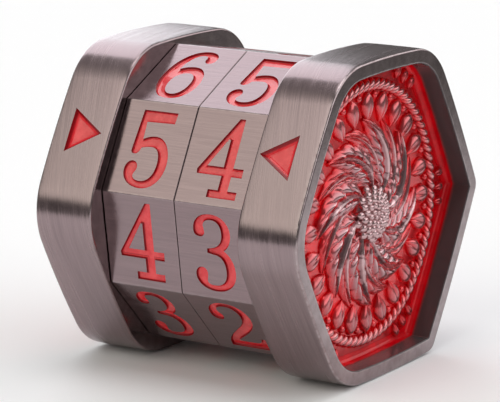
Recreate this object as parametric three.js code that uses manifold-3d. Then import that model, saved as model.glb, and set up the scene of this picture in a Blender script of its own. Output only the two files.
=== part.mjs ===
// Life counter: two numbered drums turning on one spindle between two hexagonal end caps.
// Units are millimetres. X runs along the spindle to the right, Y to the back, Z up.
// The counter stands on one flat of its caps, with the origin under its middle on the ground.

import * as THREE from 'three';
import { mergeVertices } from 'three/addons/utils/BufferGeometryUtils.js';
import Module from 'manifold-3d';

const wasm = await Module();
wasm.setup();

// End caps
const capAcrossFlats = 32;
const capDepth = 6.65;
const gripCornerRadius = 7;
const baseCornerRadius = 1.5;
const edgeBreak = 0.2;
const rimWall = 1.5;
const recessDepth = 2.8;
const innerCornerRadius = 0.2;

// Number drums
const drumSetback = 1.25;
const drumWidth = 8.22;
const drumSeam = 0.16;
const drumSideGap = 0.2;
const figureCount = 10;
const clickTurn = 2.1;

// Engraving
const figureHeight = 8;
const figureDepth = 0.55;
const arrowHeight = 4.6;
const arrowLength = 3.8;
const arrowDepth = 0.5;
const arrowSetback = 0.7;

// Spindle, bushes and washers
const spindleRadius = 3.5;
const tenonRadius = 2.9;
const tenonAcrossFlats = 4.6;
const tenonLength = 1.5;
const bushWall = 1.2;
const centerWasherThickness = 0.8;
const thrustWasherThickness = 0.5;
const washerWall = 3;
const hubMargin = 1;
const hubHeight = 2.3;

// Cap screws
const screwRadius = 1.5;
const screwLength = 6;
const screwHeadRadius = 2.75;
const screwHeadHeight = 1.6;
const screwTipSpace = 0.7;
const keyAcrossFlats = 2.5;
const keyDepth = 1;
const lockWasherThickness = 0.5;

// Click mechanism
const ballRadius = 1.1;
const ballReach = 0.3;
const hubToTrack = 2.35;
const trackDepth = 0.45;
const trackHalfWidth = 1.15;
const dimpleRadius = 1.35;
const dimpleDepth = 0.35;
const springPocketDepth = 6;
const springRadius = 0.75;
const springWireRadius = 0.15;
const springTurns = 5;

// Ornament plates
const plateThickness = 1;
const reliefRoot = 0.2;
const borderMargin = 1.1;
const borderTubeRadius = 0.6;
const reliefGap = 0.1;
const petalCount = 24;
const petalLength = 3;
const petalWidth = 2.6;
const petalHeight = 0.7;
const leafCount = 8;
const leafRootGap = 0.3;
const leafWidth = 3.6;
const leafHeight = 1;
const leafSweep = 50;
const rosetteRadius = 2.7;
const rosetteHeight = 1.4;

// Fits
const seatGap = 0.02;
const runningGap = 0.05;
const looseGap = 0.3;
const overrun = 1;

// Facets
const roundFacets = 32;
const cornerFacets = 3;
const figureFacets = 3;
const ballFacets = 12;
const dimpleFacets = 10;
const borderFacets = 36;
const reliefFacets = 5;
const wireFacets = 5;
const turnFacets = 8;

// Radii about the spindle
const capApothem = capAcrossFlats / 2;
const drumApothem = capApothem - drumSetback;
const washerRadius = spindleRadius + washerWall;
const hubRadius = washerRadius + hubMargin;
const clickRadius = hubRadius + hubToTrack + trackHalfWidth;
const borderRadius = capApothem - rimWall - borderMargin - borderTubeRadius;
const petalRingRadius = borderRadius - borderTubeRadius - reliefGap - petalLength / 2;
const leafRootRadius = rosetteRadius + leafRootGap;
const leafTipRadius = petalRingRadius - petalLength / 2 - reliefGap;

// Places along the spindle, measured from the seam between the drums
const drumInnerFace = drumSeam / 2;
const drumOuterFace = drumInnerFace + drumWidth;
const capInnerFace = drumOuterFace + drumSideGap;
const capOuterFace = capInnerFace + capDepth;
const plateFace = capOuterFace - recessDepth;
const pocketFloor = plateFace - plateThickness;
const hubFace = capInnerFace - hubHeight;
const drumHubFloor = hubFace - thrustWasherThickness - 2 * runningGap;
const drumWasherFloor = centerWasherThickness / 2 + runningGap;
const screwSeat = pocketFloor - seatGap - screwHeadHeight - lockWasherThickness - 2 * seatGap;
const socketDepth = tenonLength + runningGap;
const ballCentre = capInnerFace + ballReach - ballRadius;
const step = 360 / figureCount;
const arrowAngle = 150;

const steel = { color: 0x8c8084, roughness: 0.34, metalness: 1 };
const brightSteel = { color: 0xb9b6b4, roughness: 0.25, metalness: 1 };
const bronze = { color: 0xa9824c, roughness: 0.4, metalness: 1 };
const nylon = { color: 0xd8d5cb, roughness: 0.6, metalness: 0 };
const enamelled = { color: 0x8a2b30, roughness: 0.3, metalness: 0.8 };

// Figure outlines as shares of the figure height, upright and centred on their face.
// The first contour is the outside and any others are counters. A row of two numbers is a
// straight line to that point, and a row of six is a cubic curve with its two handles first.
const sixShares = [
  [
    [0.1, 0.32],
    [0.1, 0.28, 0.13, 0.255, 0.165, 0.255],
    [0.215, 0.255, 0.25, 0.295, 0.25, 0.35],
    [0.25, 0.44, 0.18, 0.492, 0.075, 0.492],
    [-0.16, 0.492, -0.31, 0.26, -0.31, -0.05],
    [-0.31, -0.34, -0.19, -0.505, 0.01, -0.505],
    [0.18, -0.505, 0.29, -0.37, 0.29, -0.19],
    [0.29, 0.01, 0.2, 0.16, 0.05, 0.16],
    [-0.03, 0.16, -0.1, 0.135, -0.15, 0.095],
    [-0.145, 0.26, -0.07, 0.405, 0.045, 0.405],
    [0.08, 0.405, 0.11, 0.385, 0.1, 0.32],
  ],
  [
    [0.03, 0.025],
    [-0.07, 0.025, -0.15, -0.06, -0.15, -0.18],
    [-0.15, -0.33, -0.08, -0.415, 0.01, -0.415],
    [0.1, -0.415, 0.16, -0.32, 0.16, -0.19],
    [0.16, -0.06, 0.11, 0.025, 0.03, 0.025],
  ],
];

const figureShares = {
  0: [
    [
      [0, 0.505],
      [-0.19, 0.505, -0.295, 0.28, -0.295, 0],
      [-0.295, -0.28, -0.19, -0.505, 0, -0.505],
      [0.19, -0.505, 0.295, -0.28, 0.295, 0],
      [0.295, 0.28, 0.19, 0.505, 0, 0.505],
    ],
    [
      [0, 0.42],
      [0.1, 0.42, 0.145, 0.23, 0.145, 0],
      [0.145, -0.23, 0.1, -0.42, 0, -0.42],
      [-0.1, -0.42, -0.145, -0.23, -0.145, 0],
      [-0.145, 0.23, -0.1, 0.42, 0, 0.42],
    ],
  ],
  1: [
    [
      [-0.03, 0.505],
      [-0.07, 0.43, -0.13, 0.395, -0.21, 0.385],
      [-0.21, 0.31],
      [-0.075, 0.33],
      [-0.075, -0.4],
      [-0.22, -0.4],
      [-0.22, -0.5],
      [0.21, -0.5],
      [0.21, -0.4],
      [0.07, -0.4],
      [0.07, 0.505],
    ],
  ],
  2: [
    [
      [-0.29, -0.5],
      [0.255, -0.5],
      [0.29, -0.25],
      [0.235, -0.25],
      [0.215, -0.34, 0.18, -0.365, 0.11, -0.365],
      [-0.13, -0.365],
      [-0.06, -0.25, 0.285, -0.09, 0.285, 0.22],
      [0.285, 0.39, 0.18, 0.5, 0.01, 0.5],
      [-0.17, 0.5, -0.29, 0.37, -0.29, 0.22],
      [-0.29, 0.15, -0.25, 0.105, -0.195, 0.105],
      [-0.14, 0.105, -0.11, 0.15, -0.115, 0.2],
      [-0.12, 0.25, -0.16, 0.27, -0.155, 0.32],
      [-0.15, 0.39, -0.08, 0.425, 0, 0.425],
      [0.1, 0.425, 0.15, 0.34, 0.15, 0.24],
      [0.15, -0.05, -0.29, -0.19, -0.29, -0.5],
    ],
  ],
  3: [
    [
      [-0.27, 0.215],
      [-0.295, 0.33, -0.23, 0.485, -0.02, 0.485],
      [0.15, 0.485, 0.248, 0.38, 0.248, 0.25],
      [0.248, 0.15, 0.2, 0.075, 0.138, 0.032],
      [0.22, -0.01, 0.288, -0.11, 0.288, -0.245],
      [0.288, -0.4, 0.17, -0.502, -0.01, -0.502],
      [-0.17, -0.502, -0.29, -0.42, -0.29, -0.31],
      [-0.29, -0.25, -0.25, -0.208, -0.198, -0.208],
      [-0.15, -0.208, -0.118, -0.24, -0.118, -0.285],
      [-0.118, -0.33, -0.13, -0.35, -0.13, -0.375],
      [-0.13, -0.41, -0.09, -0.428, -0.03, -0.428],
      [0.09, -0.428, 0.155, -0.36, 0.155, -0.24],
      [0.155, -0.12, 0.1, -0.03, -0.01, -0.03],
      [-0.1, -0.015],
      [-0.1, 0.042],
      [0.05, 0.05, 0.122, 0.13, 0.122, 0.245],
      [0.122, 0.34, 0.08, 0.412, -0.015, 0.412],
      [-0.08, 0.412, -0.13, 0.385, -0.135, 0.34],
      [-0.135, 0.31, -0.125, 0.29, -0.122, 0.26],
      [-0.12, 0.21, -0.15, 0.185, -0.185, 0.185],
      [-0.22, 0.185, -0.26, 0.19, -0.27, 0.215],
    ],
  ],
  4: [
    [
      [0.105, 0.505],
      [-0.32, -0.165],
      [-0.31, -0.22],
      [0.045, -0.22],
      [0.045, -0.4],
      [-0.095, -0.4],
      [-0.095, -0.5],
      [0.315, -0.5],
      [0.315, -0.4],
      [0.182, -0.4],
      [0.182, -0.22],
      [0.33, -0.22],
      [0.33, -0.11],
      [0.182, -0.11],
      [0.182, 0.505],
    ],
    [
      [0.045, 0.235],
      [0.045, -0.11],
      [-0.19, -0.11],
      [0.02, 0.24],
    ],
  ],
  5: [
    [
      [-0.21, 0.48],
      [-0.25, -0.035],
      [-0.252, -0.065, -0.235, -0.085, -0.2, -0.085],
      [-0.165, -0.085, -0.13, -0.06, -0.115, -0.002],
      [-0.09, 0.01, -0.03, 0.022, 0.03, 0.022],
      [0.125, 0.022, 0.168, -0.06, 0.168, -0.18],
      [0.168, -0.32, 0.1, -0.418, -0.02, -0.418],
      [-0.09, -0.418, -0.14, -0.39, -0.14, -0.35],
      [-0.14, -0.32, -0.105, -0.3, -0.105, -0.26],
      [-0.105, -0.21, -0.135, -0.172, -0.185, -0.172],
      [-0.24, -0.172, -0.285, -0.22, -0.285, -0.29],
      [-0.285, -0.42, -0.16, -0.508, 0, -0.508],
      [0.18, -0.508, 0.308, -0.37, 0.308, -0.175],
      [0.308, -0.02, 0.22, 0.158, 0.065, 0.158],
      [0, 0.158, -0.06, 0.145, -0.122, 0.11],
      [-0.13, 0.332],
      [0.272, 0.342],
      [0.285, 0.48],
    ],
  ],
  6: sixShares,
  7: [
    [
      [-0.28, 0.5],
      [-0.29, 0.24],
      [-0.235, 0.24],
      [-0.215, 0.34, -0.18, 0.365, -0.12, 0.365],
      [0.14, 0.365],
      [-0.04, 0.12, -0.13, -0.16, -0.13, -0.5],
      [0.04, -0.5],
      [0.03, -0.15, 0.12, 0.17, 0.29, 0.4],
      [0.29, 0.5],
    ],
  ],
  8: [
    [
      [0, 0.5],
      [-0.15, 0.5, -0.255, 0.4, -0.255, 0.265],
      [-0.255, 0.165, -0.2, 0.09, -0.12, 0.04],
      [-0.22, -0.01, -0.295, -0.11, -0.295, -0.24],
      [-0.295, -0.4, -0.18, -0.505, 0, -0.505],
      [0.18, -0.505, 0.295, -0.4, 0.295, -0.24],
      [0.295, -0.11, 0.22, -0.01, 0.12, 0.04],
      [0.2, 0.09, 0.255, 0.165, 0.255, 0.265],
      [0.255, 0.4, 0.15, 0.5, 0, 0.5],
    ],
    [
      [0, 0.425],
      [0.08, 0.425, 0.13, 0.35, 0.13, 0.26],
      [0.13, 0.17, 0.08, 0.085, 0, 0.085],
      [-0.08, 0.085, -0.13, 0.17, -0.13, 0.26],
      [-0.13, 0.35, -0.08, 0.425, 0, 0.425],
    ],
    [
      [0, 0],
      [0.1, 0, 0.155, -0.1, 0.155, -0.215],
      [0.155, -0.33, 0.1, -0.425, 0, -0.425],
      [-0.1, -0.425, -0.155, -0.33, -0.155, -0.215],
      [-0.155, -0.1, -0.1, 0, 0, 0],
    ],
  ],
  9: sixShares.map((contour) => contour.map((row) => row.map((share) => -share))),
};

// Turns a closed three.js geometry into a solid that can be joined and cut.
function solid(geometry) {
  const bare = geometry.clone();
  bare.deleteAttribute('normal');
  bare.deleteAttribute('uv');
  const welded = mergeVertices(bare);
  const index = welded.index.array;
  const triangles = [];
  for (let i = 0; i < index.length; i += 3) {
    const corners = [index[i], index[i + 1], index[i + 2]];
    if (new Set(corners).size === corners.length) {
      triangles.push(...corners);
    }
  }
  const vertProperties = new Float32Array(welded.attributes.position.array);
  const triVerts = new Uint32Array(triangles);
  return new wasm.Manifold(new wasm.Mesh({ numProp: 3, vertProperties, triVerts }));
}

function cut(body, tools) {
  return tools.reduce((rest, tool) => rest.subtract(tool), body);
}

function join(body, additions) {
  return additions.reduce((whole, addition) => whole.add(addition), body);
}

function radians(degrees) {
  return THREE.MathUtils.degToRad(degrees);
}

// Inside each piece's own space, z runs along the spindle, x to the back and y up.
function place(geometry, matrix) {
  return solid(geometry.clone().applyMatrix4(matrix));
}

function shift(x, y, z) {
  return new THREE.Matrix4().makeTranslation(x, y, z);
}

// A shape pushed along the spindle between two places.
function slab(shape, from, to) {
  const geometry = new THREE.ExtrudeGeometry(shape, {
    depth: to - from,
    bevelEnabled: false,
    curveSegments: cornerFacets,
  });
  return place(geometry, shift(0, 0, from));
}

// A shape pushed along the spindle, its outer edges broken at both ends.
function slabWithBrokenEdges(shape, from, to) {
  const geometry = new THREE.ExtrudeGeometry(shape, {
    depth: to - from - 2 * edgeBreak,
    bevelEnabled: true,
    bevelThickness: edgeBreak,
    bevelSize: edgeBreak,
    bevelOffset: -edgeBreak,
    bevelSegments: 1,
    curveSegments: cornerFacets,
  });
  return place(geometry, shift(0, 0, from + edgeBreak));
}

// A round body from rows of radius and place, on the spindle's line.
function turned(rows, facets = roundFacets) {
  const profile = rows.map(([radius, along]) => new THREE.Vector2(radius, along));
  const geometry = new THREE.LatheGeometry(profile, facets);
  return solid(geometry.rotateX(Math.PI / 2));
}

function disc(radius, from, to, facets = roundFacets) {
  return turned([[0, from], [radius, from], [radius, to], [0, to]], facets);
}

function ring(inner, outer, from, to, facets = roundFacets) {
  return turned([[inner, from], [outer, from], [outer, to], [inner, to], [inner, from]], facets);
}

// Hexagon with a rounded corner at each vertex, drawn inside the flats by the inset. The two
// corners opposite the arrow flat are the sharper ones.
function capOutline(inset) {
  const shape = new THREE.Shape();
  const vertexReach = (capApothem - inset) / Math.cos(Math.PI / 6);
  for (let corner = 0; corner < 6; corner += 1) {
    const angle = (corner * Math.PI) / 3;
    const isBase = corner === 0 || corner === 5;
    const full = isBase ? baseCornerRadius : gripCornerRadius;
    const radius = Math.max(full - inset, innerCornerRadius);
    const reach = vertexReach - radius / Math.cos(Math.PI / 6);
    const x = reach * Math.cos(angle);
    const y = reach * Math.sin(angle);
    shape.absarc(x, y, radius, angle - Math.PI / 6, angle + Math.PI / 6, false);
  }
  shape.closePath();
  return shape;
}

function polygonOutline(apothem, sides, turn) {
  const reach = apothem / Math.cos(Math.PI / sides);
  const corners = Array.from({ length: sides }, (unused, corner) => {
    const angle = turn + ((corner + 0.5) * 2 * Math.PI) / sides;
    return new THREE.Vector2(reach * Math.cos(angle), reach * Math.sin(angle));
  });
  return new THREE.Shape(corners);
}

// A circle with two flats, as the spindle's ends are filed.
function twoFlatOutline(radius, acrossFlats) {
  const half = acrossFlats / 2;
  const angle = Math.asin(half / radius);
  const shape = new THREE.Shape();
  shape.absarc(0, 0, radius, -angle, angle, false);
  shape.absarc(0, 0, radius, Math.PI - angle, Math.PI + angle, false);
  shape.closePath();
  return shape;
}

function contourPath(path, contour) {
  const [start, ...rows] = contour;
  path.moveTo(start[0] * figureHeight, start[1] * figureHeight);
  for (const row of rows) {
    const sized = row.map((share) => share * figureHeight);
    if (sized.length === 2) {
      path.lineTo(...sized);
    } else {
      path.bezierCurveTo(...sized);
    }
  }
  path.closePath();
  return path;
}

function figureShape(figure) {
  const [outside, ...counters] = figureShares[figure];
  const shape = contourPath(new THREE.Shape(), outside);
  shape.holes = counters.map((contour) => contourPath(new THREE.Path(), contour));
  return shape;
}

// Stands a drawing up on a flat whose normal is at the given angle, reading along the spindle.
function onFlat(angle, apothem, along) {
  const turn = radians(angle);
  const reading = new THREE.Vector3(0, 0, 1);
  const up = new THREE.Vector3(Math.sin(turn), -Math.cos(turn), 0);
  const normal = new THREE.Vector3(Math.cos(turn), Math.sin(turn), 0);
  const matrix = new THREE.Matrix4().makeBasis(reading, up, normal);
  return matrix.setPosition(normal.x * apothem, normal.y * apothem, along);
}

function engraving(shape, depth, angle, apothem, along) {
  const geometry = new THREE.ExtrudeGeometry(shape, {
    depth: depth + overrun,
    bevelEnabled: false,
    curveSegments: figureFacets,
  });
  return place(geometry, onFlat(angle, apothem - depth, along));
}

function arrowShape(pointing) {
  const base = (-pointing * arrowLength) / 2;
  const half = (pointing * arrowHeight) / 2;
  return new THREE.Shape([
    new THREE.Vector2(-base, 0),
    new THREE.Vector2(base, half),
    new THREE.Vector2(base, -half),
  ]);
}

function clickPlace(index, along) {
  const angle = radians(arrowAngle + clickTurn + step / 2 + index * step);
  return shift(clickRadius * Math.cos(angle), clickRadius * Math.sin(angle), along);
}

// Every right-hand piece is made first. The left-hand one is the same piece turned end for end
// in a mirror, so side is 1 on the right and -1 on the left.
function mirrored(body, side) {
  return side > 0 ? body : body.mirror([0, 0, 1]);
}

function capSolid(side) {
  const body = slabWithBrokenEdges(capOutline(0), capInnerFace, capOuterFace);
  const hub = disc(hubRadius, hubFace, capInnerFace + edgeBreak);
  const recess = slab(capOutline(rimWall), pocketFloor, capOuterFace + overrun);
  const headSpace = disc(screwHeadRadius + looseGap, screwSeat, pocketFloor + overrun);
  const screwHole = disc(screwRadius + looseGap, hubFace - overrun, screwSeat + overrun);
  const socket = slab(
    twoFlatOutline(tenonRadius + runningGap, tenonAcrossFlats + 2 * runningGap),
    hubFace - overrun,
    hubFace + socketDepth,
  );
  const track = ring(
    clickRadius - trackHalfWidth,
    clickRadius + trackHalfWidth,
    capInnerFace - edgeBreak,
    capInnerFace + trackDepth,
  );
  const dimpleCentre = capInnerFace + trackDepth + dimpleDepth - dimpleRadius;
  const dimple = new THREE.SphereGeometry(dimpleRadius, dimpleFacets, dimpleFacets / 2).rotateX(Math.PI / 2);
  const dimples = Array.from({ length: figureCount }, (unused, index) =>
    place(dimple, clickPlace(index, dimpleCentre)),
  );
  const plain = cut(join(body, [hub]), [recess, headSpace, screwHole, socket, track, ...dimples]);
  const arrowCentre = capInnerFace + arrowSetback + arrowLength / 2;
  const arrow = engraving(arrowShape(-side), arrowDepth, arrowAngle, capApothem, side * arrowCentre);
  return cut(mirrored(plain, side), [arrow]);
}

// A short petal with a point at each end, lying along a spoke.
function petalShape() {
  const shape = new THREE.Shape();
  shape.moveTo(-petalLength / 2, 0);
  shape.quadraticCurveTo(0, -petalWidth, petalLength / 2, 0);
  shape.quadraticCurveTo(0, petalWidth, -petalLength / 2, 0);
  return shape;
}

// A leaf that leans further round the plate the further out it reaches.
function leafShape() {
  const edge = (share, hand) => {
    const radius = THREE.MathUtils.lerp(leafRootRadius, leafTipRadius, share);
    const swell = (hand * leafWidth * Math.sin(Math.PI * share)) / 2;
    const angle = radians(leafSweep) * share + swell / radius;
    return new THREE.Vector2(radius * Math.cos(angle), radius * Math.sin(angle));
  };
  const count = 2 * reliefFacets;
  const points = Array.from({ length: count }, (unused, index) =>
    index < reliefFacets ? edge(index / reliefFacets, -1) : edge(2 - index / reliefFacets, 1),
  );
  return new THREE.Shape(points);
}

function raised(shape, height, spoke, radius) {
  const geometry = new THREE.ExtrudeGeometry(shape, {
    depth: height + reliefRoot,
    bevelEnabled: false,
    curveSegments: cornerFacets,
  });
  const turn = new THREE.Matrix4().makeRotationZ(spoke);
  return place(geometry, turn.multiply(shift(radius, 0, plateFace - reliefRoot)));
}

function spokes(count, make) {
  return Array.from({ length: count }, (unused, index) => make((index * 2 * Math.PI) / count));
}

function rosetteSolid() {
  const root = plateFace - reliefRoot;
  const dome = Array.from({ length: reliefFacets }, (unused, index) => {
    const angle = (index * Math.PI) / (2 * reliefFacets);
    return [rosetteRadius * Math.cos(angle), plateFace + rosetteHeight * Math.sin(angle)];
  });
  const rows = [[0, root], [rosetteRadius, root], ...dome, [0, plateFace + rosetteHeight]];
  return turned(rows, borderFacets / 2);
}

function plateSolid(side) {
  const plate = slab(capOutline(rimWall + runningGap), pocketFloor + seatGap, plateFace);
  const border = new THREE.TorusGeometry(borderRadius, borderTubeRadius, reliefFacets, borderFacets);
  const petals = spokes(petalCount, (spoke) => raised(petalShape(), petalHeight, spoke, petalRingRadius));
  const leaves = spokes(leafCount, (spoke) => raised(leafShape(), leafHeight, spoke, 0));
  const relief = [place(border, shift(0, 0, plateFace)), ...petals, ...leaves, rosetteSolid()];
  return mirrored(join(plate, relief), side);
}

function drumSolid(side, arrowFigure) {
  const outline = polygonOutline(drumApothem, figureCount, radians(arrowAngle + clickTurn));
  const boreRadius = spindleRadius + runningGap + bushWall + seatGap;
  const body = slab(outline, drumInnerFace, drumOuterFace);
  const bore = disc(boreRadius, drumInnerFace - overrun, drumOuterFace + overrun);
  const washerSpace = disc(washerRadius + looseGap, drumInnerFace - overrun, drumWasherFloor);
  const hubSpace = disc(hubRadius + looseGap, drumHubFloor, drumOuterFace + overrun);
  const pocketRadius = ballRadius + 2 * runningGap;
  const pocketDepth = springPocketDepth + overrun;
  const pocketShape = new THREE.CylinderGeometry(pocketRadius, pocketRadius, pocketDepth, ballFacets);
  const pocket = place(
    pocketShape.rotateX(Math.PI / 2),
    clickPlace(0, drumOuterFace + overrun - pocketDepth / 2),
  );
  const plain = mirrored(cut(body, [bore, washerSpace, hubSpace, pocket]), side);
  const middle = (side * (drumInnerFace + drumOuterFace)) / 2;
  const figures = Array.from({ length: figureCount }, (unused, index) => {
    const figure = (arrowFigure + index) % figureCount;
    const angle = arrowAngle + clickTurn - index * step;
    return engraving(figureShape(figure), figureDepth, angle, drumApothem, middle);
  });
  return cut(plain, figures);
}

function bushSolid(side) {
  const inner = spindleRadius + runningGap;
  return mirrored(ring(inner, inner + bushWall, drumWasherFloor, drumHubFloor), side);
}

function thrustWasherSolid(side) {
  const inner = spindleRadius + runningGap;
  const from = drumHubFloor + runningGap;
  return mirrored(ring(inner, washerRadius, from, from + thrustWasherThickness), side);
}

function centerWasherSolid() {
  const inner = spindleRadius + runningGap;
  const half = centerWasherThickness / 2;
  return ring(inner, washerRadius, -half, half);
}

function spindleSolid() {
  const shoulder = hubFace - seatGap;
  const journal = disc(spindleRadius, -shoulder, shoulder);
  const end = shoulder + tenonLength;
  const tenon = slab(twoFlatOutline(tenonRadius, tenonAcrossFlats), -end, end);
  const tip = screwSeat + lockWasherThickness - screwLength - screwTipSpace;
  const tapped = disc(screwRadius + runningGap, tip, end + overrun);
  return cut(join(journal, [tenon]), [tapped, mirrored(tapped, -1)]);
}

function screwSolid(side) {
  const underHead = screwSeat + lockWasherThickness + 2 * seatGap;
  const head = disc(screwHeadRadius, underHead, underHead + screwHeadHeight);
  const shank = disc(screwRadius, underHead - screwLength, underHead + seatGap);
  const key = slab(
    polygonOutline(keyAcrossFlats / 2, 6, 0),
    underHead + screwHeadHeight - keyDepth,
    underHead + screwHeadHeight + overrun,
  );
  return mirrored(cut(join(head, [shank]), [key]), side);
}

function lockWasherSolid(side) {
  const from = screwSeat + seatGap;
  return mirrored(ring(screwRadius + runningGap, screwHeadRadius, from, from + lockWasherThickness), side);
}

function ballSolid(side) {
  const ball = new THREE.SphereGeometry(ballRadius, ballFacets, ballFacets / 2).rotateX(Math.PI / 2);
  return mirrored(place(ball, clickPlace(0, ballCentre)), side);
}

class SpringCurve extends THREE.Curve {
  constructor(length) {
    super();
    this.length = length;
  }

  getPoint(t, target = new THREE.Vector3()) {
    const angle = t * springTurns * 2 * Math.PI;
    return target.set(springRadius * Math.cos(angle), springRadius * Math.sin(angle), t * this.length);
  }
}

function springSolid(side) {
  const from = drumOuterFace - springPocketDepth + springWireRadius + 2 * runningGap;
  const to = ballCentre - ballRadius - springWireRadius - runningGap;
  const wire = polygonOutline(springWireRadius, wireFacets, 0);
  const geometry = new THREE.ExtrudeGeometry(wire, {
    steps: springTurns * turnFacets,
    extrudePath: new SpringCurve(to - from),
  });
  return mirrored(place(geometry, clickPlace(0, from)), side);
}

function piece(name, body, finish) {
  const { numProp, vertProperties, triVerts } = body.getMesh();
  const geometry = new THREE.BufferGeometry();
  const positions = new Float32Array((vertProperties.length / numProp) * 3);
  for (let vertex = 0; vertex < positions.length / 3; vertex += 1) {
    positions.set(vertProperties.subarray(vertex * numProp, vertex * numProp + 3), vertex * 3);
  }
  geometry.setAttribute('position', new THREE.BufferAttribute(positions, 3));
  geometry.setIndex(new THREE.BufferAttribute(new Uint32Array(triVerts), 1));
  geometry.computeVertexNormals();
  const mesh = new THREE.Mesh(geometry, new THREE.MeshStandardMaterial({ ...finish, flatShading: true }));
  mesh.name = name;
  return mesh;
}

// Turns the pieces' own space so that the spindle lies along X, and stands the caps on a flat.
const gripReach = (capApothem - gripCornerRadius) / Math.cos(Math.PI / 6) + gripCornerRadius;
const baseReach = (capApothem - baseCornerRadius) / Math.cos(Math.PI / 6) + baseCornerRadius;
const counter = new THREE.Group();
const back = new THREE.Vector3(0, 1, 0);
const up = new THREE.Vector3(0, 0, 1);
const right = new THREE.Vector3(1, 0, 0);
counter.quaternion.setFromRotationMatrix(new THREE.Matrix4().makeBasis(back, up, right));
counter.position.set(0, (gripReach - baseReach) / 2, capApothem);

const sides = [
  { side: -1, hand: 'left', wheel: 'tens', arrowFigure: 5 },
  { side: 1, hand: 'right', wheel: 'units', arrowFigure: 4 },
];
for (const { side, hand, wheel, arrowFigure } of sides) {
  counter.add(piece(`${hand}_cap`, capSolid(side), steel));
  counter.add(piece(`${hand}_ornament_plate`, plateSolid(side), enamelled));
  counter.add(piece(`${hand}_cap_screw`, screwSolid(side), brightSteel));
  counter.add(piece(`${hand}_lock_washer`, lockWasherSolid(side), brightSteel));
  counter.add(piece(`${hand}_thrust_washer`, thrustWasherSolid(side), nylon));
  counter.add(piece(`${wheel}_drum`, drumSolid(side, arrowFigure), steel));
  counter.add(piece(`${wheel}_drum_bush`, bushSolid(side), bronze));
  counter.add(piece(`${wheel}_click_ball`, ballSolid(side), brightSteel));
  counter.add(piece(`${wheel}_click_spring`, springSolid(side), brightSteel));
}
counter.add(piece('spindle', spindleSolid(), brightSteel));
counter.add(piece('center_washer', centerWasherSolid(), nylon));

const lifeCounter = new THREE.Group();
lifeCounter.add(counter);

export default lifeCounter;
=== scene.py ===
"""The looks of a metal life counter: brushed gunmetal, red enamel and a cast ornament in each end."""
import math

import bmesh
import bpy
import numpy as np
from mathutils import Matrix, Vector


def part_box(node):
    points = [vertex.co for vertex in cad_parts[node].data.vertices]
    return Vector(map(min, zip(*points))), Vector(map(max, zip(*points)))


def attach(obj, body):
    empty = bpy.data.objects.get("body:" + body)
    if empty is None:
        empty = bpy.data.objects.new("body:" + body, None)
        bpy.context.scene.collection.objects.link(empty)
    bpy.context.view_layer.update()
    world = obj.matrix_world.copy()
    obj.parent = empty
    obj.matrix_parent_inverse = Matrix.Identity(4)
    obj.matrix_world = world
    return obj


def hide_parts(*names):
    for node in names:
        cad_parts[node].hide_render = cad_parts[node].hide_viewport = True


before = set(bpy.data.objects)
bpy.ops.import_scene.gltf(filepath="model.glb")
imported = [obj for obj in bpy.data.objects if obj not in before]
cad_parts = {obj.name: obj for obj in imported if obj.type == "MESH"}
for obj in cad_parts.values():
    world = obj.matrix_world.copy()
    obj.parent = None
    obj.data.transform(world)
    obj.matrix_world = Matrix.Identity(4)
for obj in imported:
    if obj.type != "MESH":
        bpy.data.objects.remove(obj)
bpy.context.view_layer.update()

# Lengths below are in millimetres, and this turns them into Blender's metres
MM = 0.001


def box_mm(node):
    low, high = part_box(node)
    return np.array(low) / MM, np.array(high) / MM


# What the sides are called, which are minus one and one along the spindle
HANDS = {-1: "left", 1: "right"}

# The corners of the CAD's boxes
cap_low, cap_high = box_mm("right_cap")
drum_low, drum_high = box_mm("units_drum")
spindle_low, spindle_high = box_mm("spindle")

# How much further a drum reaches than the CAD's, how far beyond the CAD's drum a cap begins, and how
# deep the recess is
SEAM_REACH = 0.045
DRUM_REACH = 0.13
CAP_GAP = 0.2
RECESS_DEPTH = 2.8

# The spindle's line, and places along it to the right of the seam between the drums
SPINDLE_LINE = (1.0, 0.0, 0.0)
AXIS_Y = (spindle_low[1] + spindle_high[1]) / 2
AXIS_Z = (spindle_low[2] + spindle_high[2]) / 2
CAP_OUTER = cap_high[0]
HUB_FACE = cap_low[0]
DRUM_INNER = drum_low[0] - SEAM_REACH
DRUM_OUTER = drum_high[0] + DRUM_REACH
CAP_INNER = drum_high[0] + CAP_GAP
PLATE_BACK = box_mm("right_ornament_plate")[0][0]
PLATE_FACE = CAP_OUTER - RECESS_DEPTH

# End caps
CAP_APOTHEM = (cap_high[2] - cap_low[2]) / 2
GRIP_CORNER_RADIUS = 7.0
BASE_CORNER_RADIUS = 1.5
INNER_CORNER_RADIUS = 0.2
RIM_WALL = 1.5
CAP_EDGE = 0.2
CAP_CROWN = 3.0
END_ROLL = 0.04
END_ROLL_WIDTH = 1.6
END_ROLL_SHARES = (0.8, 0.6, 0.3, 0)
HUB_RADIUS = 7.5
SOCKET_RADIUS = 2.95
SOCKET_HALF_WIDTH = 2.35
SOCKET_DEPTH = 1.55
SCREW_HOLE_RADIUS = 1.8
HEAD_SPACE_RADIUS = 3.05
HEAD_SPACE_DEPTH = 2.16
WALL_RINGS = (PLATE_BACK, PLATE_FACE + 1.0, CAP_OUTER - 0.6)

# Number drums
DRUM_SETBACK = 1.25
DRUM_APOTHEM = CAP_APOTHEM - DRUM_SETBACK
DRUM_EDGE = 0.08
SUPPORT = 0.12
BORE_RADIUS = 4.77
HUB_SPACE_RADIUS = 7.8
HUB_SPACE_DEPTH = 2.7
WASHER_SPACE_RADIUS = 6.8
WASHER_SPACE_DEPTH = 0.37
FIGURE_COUNT = 10
FIGURE_PITCH = 360 / FIGURE_COUNT
CLICK_TURN = 2.1

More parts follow.
